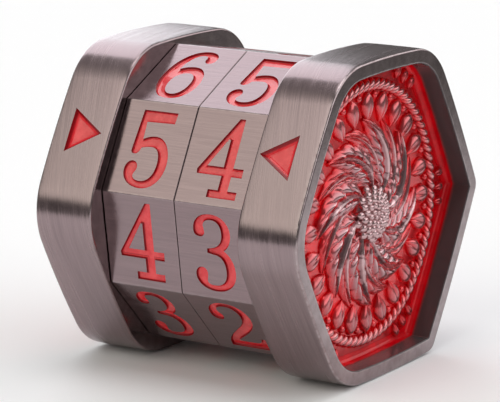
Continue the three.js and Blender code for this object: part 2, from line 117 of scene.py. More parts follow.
# Engraving. An arrow's wall is points on its way down and inwards, as shares of its depth and slope.
ARROW_ANGLE = 150.0
ARROW_HEIGHT = 4.6
ARROW_LENGTH = 3.8
ARROW_DEPTH = 0.45
ARROW_SLOPE = 0.56
ARROW_WALL = [(0.2, 0.0), (0.8, 0.6), (1.0, 1.0)]
ARROW_SETBACK = 0.7
ARROWS_LEFT = 0.27
FIGURE_HEIGHT = 8.0
FIGURE_DEPTH = 0.28
FIGURE_SLOPE = 0.24
FIGURE_STEPS = 4
TENS_FIGURES_LEFT = 0.11
CUTTER_RISE = 0.4
FLOOR_LEAN = 0.01

# Ornament: a ground, a rosette of scales, two tiers of leaves, petals, beads, a rope and an enamel pool
RELIEF_ROOT = 0.2
GROUND_RADIUS = 9.5
GROUND_RISE = 0.35
GROUND_POWER = 1.5
MENISCUS = 0.75
MENISCUS_POWER = 1.15
ROSETTE_RADIUS = 2.7
ROSETTE_HEIGHT = 1.4
LEAF_COUNT = 8
LEAF_SWEEP = 50.0
SWEEP_POWER = 1.15
UPPER_LEAF = {"root": 2.4, "tip": 9.5, "width": 4.0, "height": 1.2, "lobe_count": 6}
LOWER_LEAF = {"root": 3.6, "tip": 9.4, "width": 2.9, "height": 0.75, "lobe_count": 5}
PETAL_COUNT = 24
PETAL = {"inner": 9.1, "length": 3.0, "width": 2.6, "height": 0.75}
CORNER_COUNT = 6
CORNER_PETAL = {"inner": 13.75, "length": 1.6, "width": 1.35, "height": 0.55}
CORNER_TURNS = (-6.0, 0.0, 6.0)
ROPE_TWISTS = 40
ROPE_SIZES = {
    "Ring Radius": 12.8,
    "Lay Radius": 0.3,
    "Strand Radius": 0.36,
    "Twists": ROPE_TWISTS,
    "Steps": 12 * ROPE_TWISTS,
    "Strand Sides": 10,
}
BEAD_SIZES = {"Count": 2 * PETAL_COUNT, "Ring Radius": 11.75, "Bead Radius": 0.4}
SCALE_SIZES = {
    "Count": 62,
    "Dome Radius": ROSETTE_RADIUS,
    "Dome Height": ROSETTE_HEIGHT,
    "Scale Size": 0.95,
    "Scale Growth": 0.6,
    "Scale Lift": 0.25,
}

# The turn from each of a sunflower's seeds to the next, and the middle scales' share of the scales' size
SUNFLOWER_TURN = math.radians(137.508)
SMALLEST_SCALE = 0.5

# How leaves, petals and scales swell from root to tip: where they start, how far they go, how they lean
LEAF_SWELL = (0.02, 0.96, 0.85)
PETAL_SWELL = (0.03, 0.94, 1.0)
SCALE_SWELL = (0.08, 0.9, 0.8)
SCALE_RISE_SWELL = (0.1, 0.85, 1.0)

# How blunt their outlines are, how round their backs, and how full their ends
BLUNTNESS = 0.8
BACK_POWER = 0.55
LEAF_BACK = (2.6, 0.5)
PETAL_BACK = (2.2, 0.45)

# How leaves, petals and scales are carved, as shares of width and height. Ridges and grooves have a
# height, a place and a width.
LOBE_DEPTH = 0.3
LOBE_LEAN = 0.3
LOBE_POWER = 0.6
LOBE_FADE = 0.4
VEIN_DEPTH = 0.3
VEIN_POWER = 0.7
VEIN_START = 1 / 3
VEIN_FADE = 0.3
LEAF_BODY = 0.78
LEAF_FALL = 0.2
TIP_LIFT = 0.3
MIDRIB = (0.22, 0.0, 0.09)
RIB_GROOVE = (0.3, 0.19, 0.08)
PETAL_FLUTE = (0.42, 0.0, 0.22)
PETAL_ROOT_WIDTH = 0.55
PETAL_ROOT_HEIGHT = 0.75
PETAL_TIP_HEIGHT = 1.1
SCALE_HALF_WIDTH = 0.48
SCALE_RISE = 0.42
SCALE_RISE_POWER = 0.6
SCALE_BACK = 0.45

# How finely curves are cut up
CORNER_STEPS = 20
FLAT_STEPS = 4
EDGE_STEPS = 3
CURVE_STEPS = 9
LEAF_STEPS, LEAF_ACROSS = 98, 27
PETAL_STEPS, PETAL_ACROSS = 12, 13
SCALE_STEPS, SCALE_ACROSS = 6, 7
GROUND_STEPS = 10
POOL_STEPS = 8
DOME_STEPS = 16
ROUND_STEPS = 48
BEAD_STEPS = 3

# The gap between a plate and its wall, and how small a ring stands for a point, in size or in radians
FIT_GAP = 0.05
POLE = 0.01

# How near points merge, how near an outline's end lies to its start, and how short an edge may be
MERGE = 0.002
CUTTER_MERGE = 0.001
CRACK_MERGE = 0.0005
FINE_MERGE = 0.0001
CLOSING_GAP = 0.05
SHORTEST_EDGE = 1e-6

# Where shading breaks, in degrees
SHARP_EDGE = 32.0
CAST_SHARP_EDGE = 50.0

# Wear: its reach in widths of a cap's edge, its strength at a drum's corner and the degrees in which one
# unit of that fades, and its share on the caps' inner edges
WEAR_REACH = 1.2
CORNER_WEAR = 1.6
CORNER_WEAR_TURN = 0.35
INNER_EDGE_WEAR = 0.2

# Finishes, as linear colours from darkest to lightest, with painted light and shade among them where noted
CAP_TONES = (0.25, 0.19, 0.198), (0.345, 0.262, 0.27)
DRUM_TONES = (0.24, 0.178, 0.187), (0.325, 0.242, 0.251)
# Painted light: the end faces' own tones of the caps' metal, set for how the end faces take the light
RIM_PAINTED_TONES = (0.27, 0.22, 0.225), (0.36, 0.3, 0.305)
WORN_METAL = (0.6, 0.53, 0.53)
ENGRAVED_TONES = (0.8, 0.013, 0.024), (0.93, 0.05, 0.06)
# Painted shade: the deep red that the engraved figures' steep walls turn to
ENGRAVED_PAINTED_SHADE = (0.27, 0.001, 0.005)
ENAMEL_TONES = (0.58, 0.001, 0.007), (0.8, 0.004, 0.012)
RELIEF_METAL = (0.37, 0.19, 0.205)
# Paler metal on the relief's crests: polish, and partly a painted highlight
RELIEF_CREST_HIGHLIGHT = (0.62, 0.42, 0.43)
# Painted shade: the recess walls' metal, far darker than the caps' for the shade inside the recess
RECESS_WALL_PAINTED_SHADE = (0.1, 0.091, 0.093)
NYLON_TONES = (0.58, 0.55, 0.48), (0.72, 0.7, 0.63)
STEEL_COLOUR = (0.56, 0.55, 0.54)
BRONZE_COLOUR = (0.45, 0.27, 0.11)

# How dark turned metal's rings are against its colour, and how far the rims' edges are rubbed
TURNED_SHADE = 0.75
RIM_RUBBED = 0.9

# Scratches: how closely they lie along each axis in a metre, how far the caps' lean from square, and how
# close the bands among them lie, as a share of that
CAP_STRETCH = (9500.0, 190.0, 190.0)
DRUM_STRETCH = (190.0, 8500.0, 8500.0)
TURNED_STRETCH = (9000.0, 200.0, 200.0)
GRAIN_SLANT = 0.14
BAND_SHARE = 0.13

# What the scratches, the bands and a cloudy noise add to brushed metal's tone and roughness
BASE_TONE, STREAK_TONE, BAND_TONE, CLOUD_TONE = 0.05, 0.55, 0.3, 0.12
STREAK_ROUGHNESS, BAND_ROUGHNESS = 0.04, 0.03

# Where ramps begin and end: the middle of a noise, hollows and crests, and leaning walls. The crests' paler
# metal is partly polish and partly a painted highlight, and the walls' deep red is painted shade.
NOISE_MIDDLE = (0.3, 0.7)
BAND_MIDDLE = (0.32, 0.68)
SPECKLE_MIDDLE = (0.3, 0.62)
FILM_MIDDLE = (0.35, 0.65)
HOLLOWS = (0.03, 0.2)
WALLS = (0.015, 0.2)
# The steepness over which engraved walls take their painted shade
PAINTED_SHADE_WALLS = (0.1, 0.42)

# How much of a full film of enamel the hollows hold
GROOVE_FILM = 0.9

# Camera: its turn from the front towards the right, its rise and roll, its place from the spindle's
# middle, and its lens
CAMERA_AZIMUTH = math.radians(32.79)
CAMERA_ELEVATION = math.radians(12.66)
CAMERA_ROLL = math.radians(-0.12)
CAMERA_DISTANCE = 287.1
CAMERA_RIGHT = -0.916
CAMERA_UP = -0.276
LENS = 205.13
SENSOR = 36.0

# The floor: its half size, how far its pale middle reaches to each side of the camera's line, how softly
# that ends, and the two tones, the dim one being painted shade on the floor's sides
FLOOR_HALF = 450.0
PALE_HALF = 107.0
PALE_SOFTNESS = 30.0
FLOOR_PALE = (0.92, 0.915, 0.925)
# Painted shade: the dim tone of the floor's sides, which the metal reflects
FLOOR_PAINTED_SHADE = (0.17, 0.165, 0.16)

# The room's own light, and the soft boxes: azimuth, elevation, softness of the edge, strength, tint
ROOM_LIGHT = 0.16
ROOM_COLOUR = (1.0, 0.96, 0.95)
SOFTBOXES = [
    ((-125, -68), (20, 64), 9.0, 0.36, (1.0, 0.98, 0.96)),
    ((-73, -33), (3, 66), 2.5, 2.3, (0.95, 0.98, 1.02)),
    ((-180, -108), (30, 58), 7.0, 0.66, (1.0, 1.0, 0.93)),
    ((-190, -134), (33, 56), 9.0, 1.85, (1.0, 0.99, 0.92)),
    ((-190, -128), (10, 42), 5.0, 1.5, (1.0, 1.0, 0.89)),
    ((0, 110), (10, 45), 5.0, 1.7, (1.0, 1.0, 1.0)),
    ((0, 110), (45, 70), 5.0, 1.0, (1.0, 1.0, 1.0)),
    ((-180, 180), (74, 100), 4.0, 3.2, (1.0, 1.0, 1.0)),
]

# Outlines of the figures 0 to 9 in thousandths of their height. In each figure the first outline is the
# outside and any others are counters. Two numbers end a straight line, and six are a curve's two handles
# and its end. Nine is six turned round.
SIX = [
    [
        (100, 320), (100, 280, 130, 255, 165, 255), (215, 255, 250, 295, 250, 350),
        (250, 440, 180, 492, 75, 492), (-160, 492, -310, 260, -310, -50),
        (-310, -340, -190, -505, 10, -505), (180, -505, 290, -370, 290, -190),
        (290, 10, 200, 160, 50, 160), (-30, 160, -100, 135, -150, 95), (-145, 260, -70, 405, 45, 405),
        (80, 405, 110, 385, 100, 320),
    ],
    [
        (30, 25), (-70, 25, -150, -60, -150, -180), (-150, -330, -80, -415, 10, -415),
        (100, -415, 160, -320, 160, -190), (160, -60, 110, 25, 30, 25),
    ],
]
FIGURES = [
    [
        [
            (0, 505), (-190, 505, -295, 280, -295, 0), (-295, -280, -190, -505, 0, -505),
            (190, -505, 295, -280, 295, 0), (295, 280, 190, 505, 0, 505),
        ],
        [
            (0, 420), (100, 420, 145, 230, 145, 0), (145, -230, 100, -420, 0, -420),
            (-100, -420, -145, -230, -145, 0), (-145, 230, -100, 420, 0, 420),
        ],
    ],
    [
        [
            (-30, 505), (-70, 430, -130, 395, -210, 385), (-210, 310), (-75, 330), (-75, -400),
            (-220, -400), (-220, -500), (210, -500), (210, -400), (70, -400), (70, 505),
        ],
    ],
    [
        [
            (-290, -500), (255, -500), (290, -250), (235, -250), (215, -340, 180, -365, 110, -365),
            (-130, -365), (-60, -250, 285, -90, 285, 220), (285, 390, 180, 500, 10, 500),
            (-170, 500, -290, 370, -290, 220), (-290, 150, -250, 105, -195, 105),
            (-140, 105, -110, 150, -115, 200), (-120, 250, -160, 270, -155, 320),
            (-150, 390, -80, 425, 0, 425), (100, 425, 150, 340, 150, 240),
            (150, -50, -290, -190, -290, -500),
        ],
    ],
    [
        [
            (-277, 245), (-290, 350, -225, 485, -20, 485), (150, 485, 248, 380, 248, 250),
            (248, 150, 200, 75, 138, 32), (220, -10, 288, -110, 288, -245),
            (288, -400, 170, -502, -10, -502), (-170, -502, -290, -420, -290, -310),
            (-290, -250, -250, -208, -198, -208), (-150, -208, -118, -240, -118, -285),
            (-118, -330, -130, -350, -130, -375), (-130, -410, -90, -428, -30, -428),
            (90, -428, 155, -360, 155, -240), (155, -120, 100, -30, -10, -30), (-100, -15), (-100, 42),
            (50, 50, 122, 130, 122, 245), (122, 340, 80, 412, -15, 412),
            (-80, 412, -130, 385, -135, 340), (-135, 310, -125, 290, -122, 260),
            (-120, 210, -150, 185, -185, 185), (-235, 185, -270, 200, -277, 245),
        ],
    ],
    [
        [
            (105, 505), (-320, -165), (-310, -220), (45, -220), (45, -400), (-95, -400), (-95, -500),
            (315, -500), (315, -400), (182, -400), (182, -220), (330, -220), (330, -110), (182, -110),
            (182, 505),
        ],
        [
            (45, 235), (45, -110), (-190, -110), (20, 240),
        ],
    ],
    [
        [
            (-210, 480), (-250, -35), (-252, -65, -235, -85, -200, -85),
            (-165, -85, -130, -60, -115, -2), (-90, 10, -30, 22, 30, 22),
            (125, 22, 168, -60, 168, -180), (168, -320, 100, -418, -20, -418),
            (-90, -418, -140, -390, -140, -350), (-140, -320, -105, -300, -105, -260),
            (-105, -210, -135, -172, -185, -172), (-240, -172, -285, -220, -285, -290),
            (-285, -420, -160, -508, 0, -508), (180, -508, 308, -370, 308, -175),
            (308, -20, 220, 158, 65, 158), (0, 158, -60, 145, -122, 110), (-130, 332), (272, 342),
            (285, 480),
        ],
    ],
    SIX,
    [
        [
            (-280, 500), (-290, 240), (-235, 240), (-215, 340, -180, 365, -120, 365), (140, 365),
            (-40, 120, -130, -160, -130, -500), (40, -500), (30, -150, 120, 170, 290, 400), (290, 500),
        ],
    ],
    [
        [
            (0, 500), (-150, 500, -255, 400, -255, 265), (-255, 165, -200, 90, -120, 40),
            (-220, -10, -295, -110, -295, -240), (-295, -400, -180, -505, 0, -505),
            (180, -505, 295, -400, 295, -240), (295, -110, 220, -10, 120, 40),
            (200, 90, 255, 165, 255, 265), (255, 400, 150, 500, 0, 500),
        ],
        [
            (0, 425), (80, 425, 130, 350, 130, 260), (130, 170, 80, 85, 0, 85),
            (-80, 85, -130, 170, -130, 260), (-130, 350, -80, 425, 0, 425),
        ],
        [
            (0, 0), (100, 0, 155, -100, 155, -215), (155, -330, 100, -425, 0, -425),
            (-100, -425, -155, -330, -155, -215), (-155, -100, -100, 0, 0, 0),
        ],
    ],
    [[tuple(-share for share in row) for row in contour] for contour in SIX],
]


class Nodes:
    """A node tree under construction."""

    def __init__(self, tree):
        self.tree = tree

    def fill(self, node, inputs):
        """Links or sets a node's inputs, given in their order or by name or number."""
        pairs = inputs.items() if isinstance(inputs, dict) else enumerate(inputs)
        for key, value in pairs:
            socket = node.inputs[key]
            if isinstance(value, bpy.types.NodeSocket):
                self.tree.links.new(value, socket)
            elif socket.type == "RGBA":
                socket.default_value = (*value, 1.0)
            else:
                socket.default_value = value

    def add(self, kind, inputs=(), **settings):
        node = self.tree.nodes.new(kind)
        for name, value in settings.items():
            setattr(node, name, value)
        self.fill(node, inputs)
        return node

    def first(self, kind, inputs=(), **settings):
        """The first output of a new node."""
        return self.add(kind, inputs, **settings).outputs[0]

    def math(self, operation, *values):
        return self.first("ShaderNodeMath", values, operation=operation)

    def times(self, first, second):
        return self.math("MULTIPLY", first, second)

    def between(self, share, first, second):
        """A value that goes from the first number to the second with the share."""
        return self.math("MULTIPLY_ADD", share, second - first, first)

    def vector(self, operation, *values):
        return self.first("ShaderNodeVectorMath", values, operation=operation)

    def scaled(self, vector, scale):
        return self.first("ShaderNodeVectorMath", {0: vector, "Scale": scale}, operation="SCALE")

    def join_xyz(self, *values):
        return self.first("ShaderNodeCombineXYZ", values)

    def split_xyz(self, vector):
        return self.add("ShaderNodeSeparateXYZ", [vector]).outputs

    def ramp(self, value, low, high, start=0.0, end=1.0):
        """The start below low, the end above high, and smooth between."""
        inputs = {"Value": value, "From Min": low, "From Max": high, "To Min": start, "To Max": end}
        return self.first("ShaderNodeMapRange", inputs, interpolation_type="SMOOTHSTEP")

    def mix(self, share, first, second):
        """A colour that goes from the first to the second with the share."""
        return self.add("ShaderNodeMix", {0: share, 6: first, 7: second}, data_type="RGBA").outputs[2]

    def noise(self, vector, scale, detail=3.0, roughness=0.6):
        inputs = {"Vector": vector, "Scale": scale, "Detail": detail, "Roughness": roughness}
        return self.first("ShaderNodeTexNoise", inputs)

    def bump(self, height, strength, depth):
        return self.first("ShaderNodeBump", {"Height": height, "Strength": strength, "Distance": depth * MM})

    def stored(self, name):
        """A value that the mesh holds."""
        return self.add("ShaderNodeAttribute", attribute_name=name).outputs["Fac"]

    def group(self, tree, *values):
        return self.add("ShaderNodeGroup", values, node_tree=tree).outputs


def new_group(name, kind, inputs, outputs, results_of):
    """A node group that gives what a function makes of its inputs. Sockets are names with their types."""
    tree = bpy.data.node_groups.new(name, kind)
    for way, sockets in (("INPUT", inputs), ("OUTPUT", outputs)):
        for label, socket_type in sockets.items():
            tree.interface.new_socket(name=label, in_out=way, socket_type=f"NodeSocket{socket_type}")
    nodes = Nodes(tree)
    given = nodes.add("NodeGroupInput").outputs[:len(inputs)]
    nodes.add("NodeGroupOutput", results_of(nodes, *given))
    return tree


def brushed_grain(nodes, vector, stretch):
    """Long fine scratches, and the broader bands among them. Stretch sets their lie."""
    along = nodes.vector("MULTIPLY", vector, stretch)
    fine = nodes.noise(along, scale=1.0, roughness=0.65)
    broad = nodes.noise(nodes.scaled(along, BAND_SHARE), scale=1.0, detail=2.0, roughness=0.5)
    return nodes.ramp(fine, *NOISE_MIDDLE), nodes.ramp(broad, *BAND_MIDDLE)


def edge_wear(nodes, vector, amount):
    """Where rubbed edges show brighter metal: broken up by a fine speckle."""
    speckle = nodes.ramp(nodes.noise(vector, scale=1400.0), *SPECKLE_MIDDLE)
    return [nodes.times(nodes.times(nodes.stored("edge_wear"), speckle), amount)]


def enamel_film(nodes, vector, floor, full_below, gone_above, unevenness):
    """How thick the enamel lies, which is full near the recess's floor and in hollows, and the ridges, whose
    paler metal is partly a painted highlight.
    """
    height = nodes.math("SUBTRACT", nodes.math("ABSOLUTE", nodes.split_xyz(vector)[0]), floor)
    flow = nodes.math("SUBTRACT", nodes.noise(vector, scale=900.0), 0.5)
    uneven = nodes.math("ADD", height, nodes.times(flow, unevenness))
    low = nodes.ramp(uneven, full_below, gone_above, 1.0, 0.0)
    hollow = nodes.stored("hollow")
    in_grooves = nodes.times(nodes.ramp(hollow, *HOLLOWS), GROOVE_FILM)
    return nodes.math("MAXIMUM", low, in_grooves), nodes.ramp(nodes.times(hollow, -1.0), *HOLLOWS)


def shader_group(name, inputs, outputs, results_of):
    """A group for shaders, whose first input is a vector and whose outputs are values."""
    inputs = {"Vector": "Vector"} | inputs
    return new_group(name, "ShaderNodeTree", inputs, dict.fromkeys(outputs, "Float"), results_of)


FILM_INPUTS = dict.fromkeys(["Floor", "Full Below", "Gone Above", "Unevenness"], "Float")
BRUSHED_GRAIN = shader_group("Brushed grain", {"Stretch": "Vector"}, ["Streaks", "Bands"], brushed_grain)
EDGE_WEAR = shader_group("Edge wear", {"Amount": "Float"}, ["Mask"], edge_wear)
ENAMEL_FILM = shader_group("Enamel film", FILM_INPUTS, ["Film", "Crest Highlight"], enamel_film)


def new_material(name, looks_of, **choices):
    """A material with the shader inputs that a function makes of the shaded place and some choices."""
    material = bpy.data.materials.new(name)
    material.use_nodes = True
    nodes = Nodes(material.node_tree)
    place = nodes.add("ShaderNodeTexCoord").outputs["Object"]
    nodes.fill(material.node_tree.nodes["Principled BSDF"], looks_of(nodes, place, **choices))
    return material


def brushed_gunmetal(nodes, place, stretch, tones, roughness, waver, rubbed, across_axis):
    """Plated gunmetal with scratches that lie along the direction that stretch leaves coarse.

    Waver is how far the scratches throw their highlights round the spindle's line.
    """
    x, y, z = nodes.split_xyz(place)
    slant = nodes.times(nodes.math("ADD", y, z), GRAIN_SLANT if across_axis else 0.0)
    slanted = nodes.join_xyz(nodes.math("ADD", x, slant), y, z)
    streaks, bands = nodes.group(BRUSHED_GRAIN, slanted, stretch)
    worn = nodes.group(EDGE_WEAR, place, rubbed)[0]
    clouds = nodes.noise(place, scale=130.0, roughness=0.5)
    tone = BASE_TONE
    for part, strength in ((streaks, STREAK_TONE), (bands, BAND_TONE), (clouds, CLOUD_TONE)):
        tone = nodes.math("MULTIPLY_ADD", part, strength, tone)
    rough = nodes.between(bands, roughness - BAND_ROUGHNESS, roughness + BAND_ROUGHNESS)
    lean = nodes.times(nodes.math("SUBTRACT", streaks, 0.5), waver)
    facing = nodes.add("ShaderNodeNewGeometry").outputs["Normal"]
    leaning = nodes.scaled(nodes.vector("CROSS_PRODUCT", SPINDLE_LINE, facing), lean)
    bump = nodes.bump(streaks, strength=0.35, depth=0.009)
    return {
        "Base Color": nodes.mix(worn, nodes.mix(tone, *tones), WORN_METAL),
        "Metallic": 1.0,
        "Roughness": nodes.math("MULTIPLY_ADD", streaks, STREAK_ROUGHNESS, rough),
        "Normal": nodes.vector("NORMALIZE", nodes.vector("ADD", bump, leaning)),
        "Tangent": nodes.join_xyz(*SPINDLE_LINE),
        "Anisotropic": 0.7,
        "Anisotropic Rotation": 0.0 if across_axis else 0.25,
    }


def painted_rim(nodes, place):
    """The caps' end faces: the same metal in tones of their own that are painted light, cloudy and finely
    bumped.
    """
    worn = nodes.group(EDGE_WEAR, place, RIM_RUBBED)[0]
    cloud = nodes.noise(place, scale=700.0, detail=4.0)
    # the end faces' tones are painted light, a copy of the caps' metal
    metal = nodes.mix(nodes.ramp(cloud, *NOISE_MIDDLE), *RIM_PAINTED_TONES)
    return {
        "Base Color": nodes.mix(worn, metal, WORN_METAL),
        "Metallic": 1.0,
        "Roughness": nodes.between(cloud, 0.15, 0.25),
        "Normal": nodes.bump(nodes.noise(place, scale=3500.0), strength=0.4, depth=0.015),
    }


def engraved_enamel(nodes, place):
    """Opaque glossy red in the engraved figures and arrows, with painted shade making their walls a deeper
    red, and a thinner coat there.
    """
    cloud = nodes.noise(place, scale=900.0)
    red = nodes.mix(nodes.ramp(cloud, *NOISE_MIDDLE), *ENGRAVED_TONES)
    leaning = nodes.stored("steepness")
    grain = nodes.noise(place, scale=1800.0, detail=2.0, roughness=0.5)
    return {
        # painted shade darkens the steeper walls towards the deep red
        "Base Color": nodes.mix(nodes.ramp(leaning, *PAINTED_SHADE_WALLS), red, ENGRAVED_PAINTED_SHADE),
        "Roughness": nodes.between(cloud, 0.12, 0.32),
        "Specular IOR Level": 0.2,
        "Coat Weight": nodes.between(nodes.ramp(leaning, *WALLS), 1.0, 0.2),
        "Coat Roughness": 0.06,
        "Normal": nodes.bump(grain, strength=0.3, depth=0.05),
    }


def enamelled_metal(nodes, place, bare, crest, film_heights, metallic, coats):
    """Metal under translucent enamel, with paler polished crests, which are partly a painted highlight.

    The film's heights are where it is still full, where it is gone, and how uneven that is. Metallic and
    coats each have two weights: on bare metal, and where the enamel is full.
    """
    heights = [height * MM for height in (PLATE_FACE, *film_heights)]
    film, crests = nodes.group(ENAMEL_FILM, place, *heights)
    cloud = nodes.noise(place, scale=420.0, detail=4.0)
    red = nodes.mix(nodes.ramp(cloud, *FILM_MIDDLE), *ENAMEL_TONES)
    return {
        # the paler crests are polish and partly a painted highlight
        "Base Color": nodes.mix(film, nodes.mix(crests, bare, crest), red),
        "Metallic": nodes.between(film, *metallic),
        "Roughness": nodes.between(cloud, 0.16, 0.3),
        "Specular IOR Level": coats[1],
        "Coat Weight": nodes.between(film, *coats),
        "Coat Roughness": 0.05,
        "Normal": nodes.bump(nodes.noise(place, scale=1300.0), strength=0.3, depth=0.05),
    }


def turned_metal(nodes, place, colour, roughness):
    """Plain metal off the lathe, with fine rings about the spindle's line."""
    streaks, bands = nodes.group(BRUSHED_GRAIN, place, TURNED_STRETCH)
    darker = tuple(TURNED_SHADE * part for part in colour)
    return {
        "Base Color": nodes.mix(streaks, darker, colour),
        "Metallic": 1.0,
        "Roughness": nodes.between(bands, roughness, roughness + 0.1),
        "Normal": nodes.bump(streaks, strength=0.3, depth=0.01),
    }


def nylon(nodes, place):
    """Off-white washer plastic, faintly mottled."""
    cloud = nodes.noise(place, scale=500.0)
    return {
        "Base Color": nodes.mix(cloud, *NYLON_TONES),
        "Roughness": nodes.between(cloud, 0.4, 0.6),
        "Normal": nodes.bump(cloud, strength=0.2, depth=0.02),
    }


def floor_paper(nodes, place):
    """Pale paper along the camera's line, with painted shade that makes it dimmer on both sides."""
    across = (*ray(CAMERA_AZIMUTH), 0)
    aside = nodes.add("ShaderNodeVectorMath", [place, across], operation="DOT_PRODUCT").outputs["Value"]
    low = (PALE_HALF - PALE_SOFTNESS) * MM
    high = (PALE_HALF + PALE_SOFTNESS) * MM
    share = nodes.ramp(nodes.math("ABSOLUTE", aside), low, high)
    # painted shade: the paper turns dim to both sides of the camera's line
    colour = nodes.mix(share, FLOOR_PALE, FLOOR_PAINTED_SHADE)
    return {"Base Color": colour, "Roughness": 0.9, "Specular IOR Level": 0.0}


CAP_METAL = new_material(
    "cap_gunmetal", brushed_gunmetal, stretch=CAP_STRETCH, tones=CAP_TONES,
    roughness=0.22, waver=0.03, rubbed=0.7, across_axis=True,
)
DRUM_METAL = new_material(
    "drum_gunmetal", brushed_gunmetal, stretch=DRUM_STRETCH, tones=DRUM_TONES,
    roughness=0.2, waver=0.02, rubbed=0.2, across_axis=False,
)
RIM_METAL = new_material("rim_gunmetal", painted_rim)
ENGRAVED_ENAMEL = new_material("engraved_enamel", engraved_enamel)
# The recess walls' bare metal is painted shade for the inside of the recess
RECESS_WALL = new_material(
    "recess_wall", enamelled_metal, bare=RECESS_WALL_PAINTED_SHADE, crest=RECESS_WALL_PAINTED_SHADE,
    film_heights=(0.5, 1.15, 0.2), metallic=(0.35, 0), coats=(0, 0.2),
)
RELIEF_CAST = new_material(
    "enamelled_relief", enamelled_metal, bare=RELIEF_METAL, crest=RELIEF_CREST_HIGHLIGHT,
    film_heights=(0.15, 1.0, 0.4), metallic=(1, 0.55), coats=(0.5, 0.5),
)
POOLED_ENAMEL = new_material(
    "pooled_enamel", enamelled_metal, bare=RELIEF_METAL, crest=RELIEF_METAL,
    film_heights=(2.0, 3.0, 0.1), metallic=(1, 0.05), coats=(0.15, 0.15),
)
BRIGHT_STEEL = new_material("bright_steel", turned_metal, colour=STEEL_COLOUR, roughness=0.2)
BRONZE = new_material("bronze", turned_metal, colour=BRONZE_COLOUR, roughness=0.3)
NYLON = new_material("nylon", nylon)


def new_object(name, mesh, materials=()):
    piece = bpy.data.objects.new(name, mesh)
    bpy.context.scene.collection.objects.link(piece)
    for material in materials:
        mesh.materials.append(material)
    return piece


def plain_mesh(piece):
    """A mesh of the object as its modifiers leave it."""
    graph = bpy.context.evaluated_depsgraph_get()
    return bpy.data.meshes.new_from_object(piece.evaluated_get(graph))


def apply_modifiers(piece):
    mesh = plain_mesh(piece)
    piece.modifiers.clear()
    old = piece.data
    piece.data = mesh
    bpy.data.meshes.remove(old)


def band(first, second, count):
    """The faces between two rows of points that each close on themselves."""
    followers = [*range(1, count), 0]
    return [(first + at, first + to, second + to, second + at) for at, to in enumerate(followers)]


def loft(name, rows, open_ended=True):
    """A closed skin over rows of points: its ends are filled in, or its last row joins the first."""
    rows = np.array(rows)
    row_count, count = rows.shape[:2]
    last = (row_count - 1) * count
    faces = [tuple(range(count))[::-1], tuple(range(last, last + count))] if open_ended else []
    for first in range(0, last, count):
        faces += band(first, first + count, count)
    if not open_ended:
        faces += band(last, 0, count)
    mesh = bpy.data.meshes.new(name)
    mesh.from_pydata([Vector(point) for point in rows.reshape(-1, 3)], [], faces)
    return mesh


def tidy_mesh(mesh, merge, fill_cracks=False, drop_slivers=False):
    """Merges doubles, closes hair-fine openings or drops slivers if asked, and points faces outwards."""
    work = bmesh.new()
    work.from_mesh(mesh)
    bmesh.ops.remove_doubles(work, verts=work.verts, dist=merge * MM)
    if fill_cracks:
        open_edges = [edge for edge in work.edges if len(edge.link_faces) == 1]
        bmesh.ops.holes_fill(work, edges=open_edges, sides=0)
    if drop_slivers:
        bmesh.ops.dissolve_degenerate(work, edges=work.edges, dist=merge * MM / 10)
    bmesh.ops.recalc_face_normals(work, faces=work.faces)
    work.to_mesh(mesh)
    work.free()


def joined(name, meshes):
    """One mesh made of several, which are used up."""
    work = bmesh.new()
    for mesh in meshes:
        work.from_mesh(mesh)
        bpy.data.meshes.remove(mesh)
    result = bpy.data.meshes.new(name)
    work.to_mesh(result)
    work.free()
    return result


def level_rows(levels):
    """Rows of points from pairs of an outline and its height."""
    return [[(u, v, height) for u, v in outline] for outline, height in levels]


def store(mesh, name, values, domain="POINT"):
    """Keeps one value for each point or corner of a mesh."""
    attribute = mesh.attributes.new(name, "FLOAT", domain)
    attribute.data.foreach_set("value", values.astype(np.float32))


def gathered(items, name, width, kind=float):
    """One property of a mesh's points or edges, as a table."""
    values = np.empty(width * len(items), dtype=kind)
    items.foreach_get(name, values)
    return values.reshape(-1, width)


def ray(angle):
    return np.array((math.cos(angle), math.sin(angle)))


def rounded_polygon(apothem, radii, inset, turn, steps, crown=0.0):
    """Points of a regular polygon with rounded corners, drawn inside by the inset.

    The crown is how many degrees each flat bends away from its middle to its ends.
    """
    half = math.pi / len(radii)
    bend = math.radians(crown)
    points = []
    for corner, full in enumerate(radii):
        angle = turn + 2 * half * corner
        radius = max(full - inset, INNER_CORNER_RADIUS)
        inner = apothem - inset - radius
        reach = inner / math.cos(half)
        flats = []
        if crown:
            spare = math.tan(half) * inner / (math.sin(bend) + math.tan(half) * (1 - math.cos(bend)))
            reach = spare * math.sin(bend) / math.sin(half)
            for hand in (-1, 1):
                way = angle + hand * half
                turns = [way - hand * bend * step / FLAT_STEPS for step in range(FLAT_STEPS)]
                flats.append([(inner - spare) * ray(way) + (spare + radius) * ray(each) for each in turns])
            points += flats[0]
        for step in range(steps + 1):
            around = angle + (half - bend) * (2 * step / steps - 1)
            points.append(reach * ray(angle) + radius * ray(around))
        if crown:
            points += flats[1][:0:-1]
    return np.array(points)


def cap_outline(inset):
    radii = [BASE_CORNER_RADIUS, *[GRIP_CORNER_RADIUS] * 4, BASE_CORNER_RADIUS]
    return rounded_polygon(CAP_APOTHEM, radii, inset, 0.0, CORNER_STEPS, CAP_CROWN)


def recess_outline(inset):
    """The recess's outline, widened by the inset."""
    return cap_outline(RIM_WALL - inset)


def circle_like(outline, radius):
    """A circle with a point under each point of an outline."""
    return outline * radius / np.linalg.norm(outline, axis=1)[:, None]


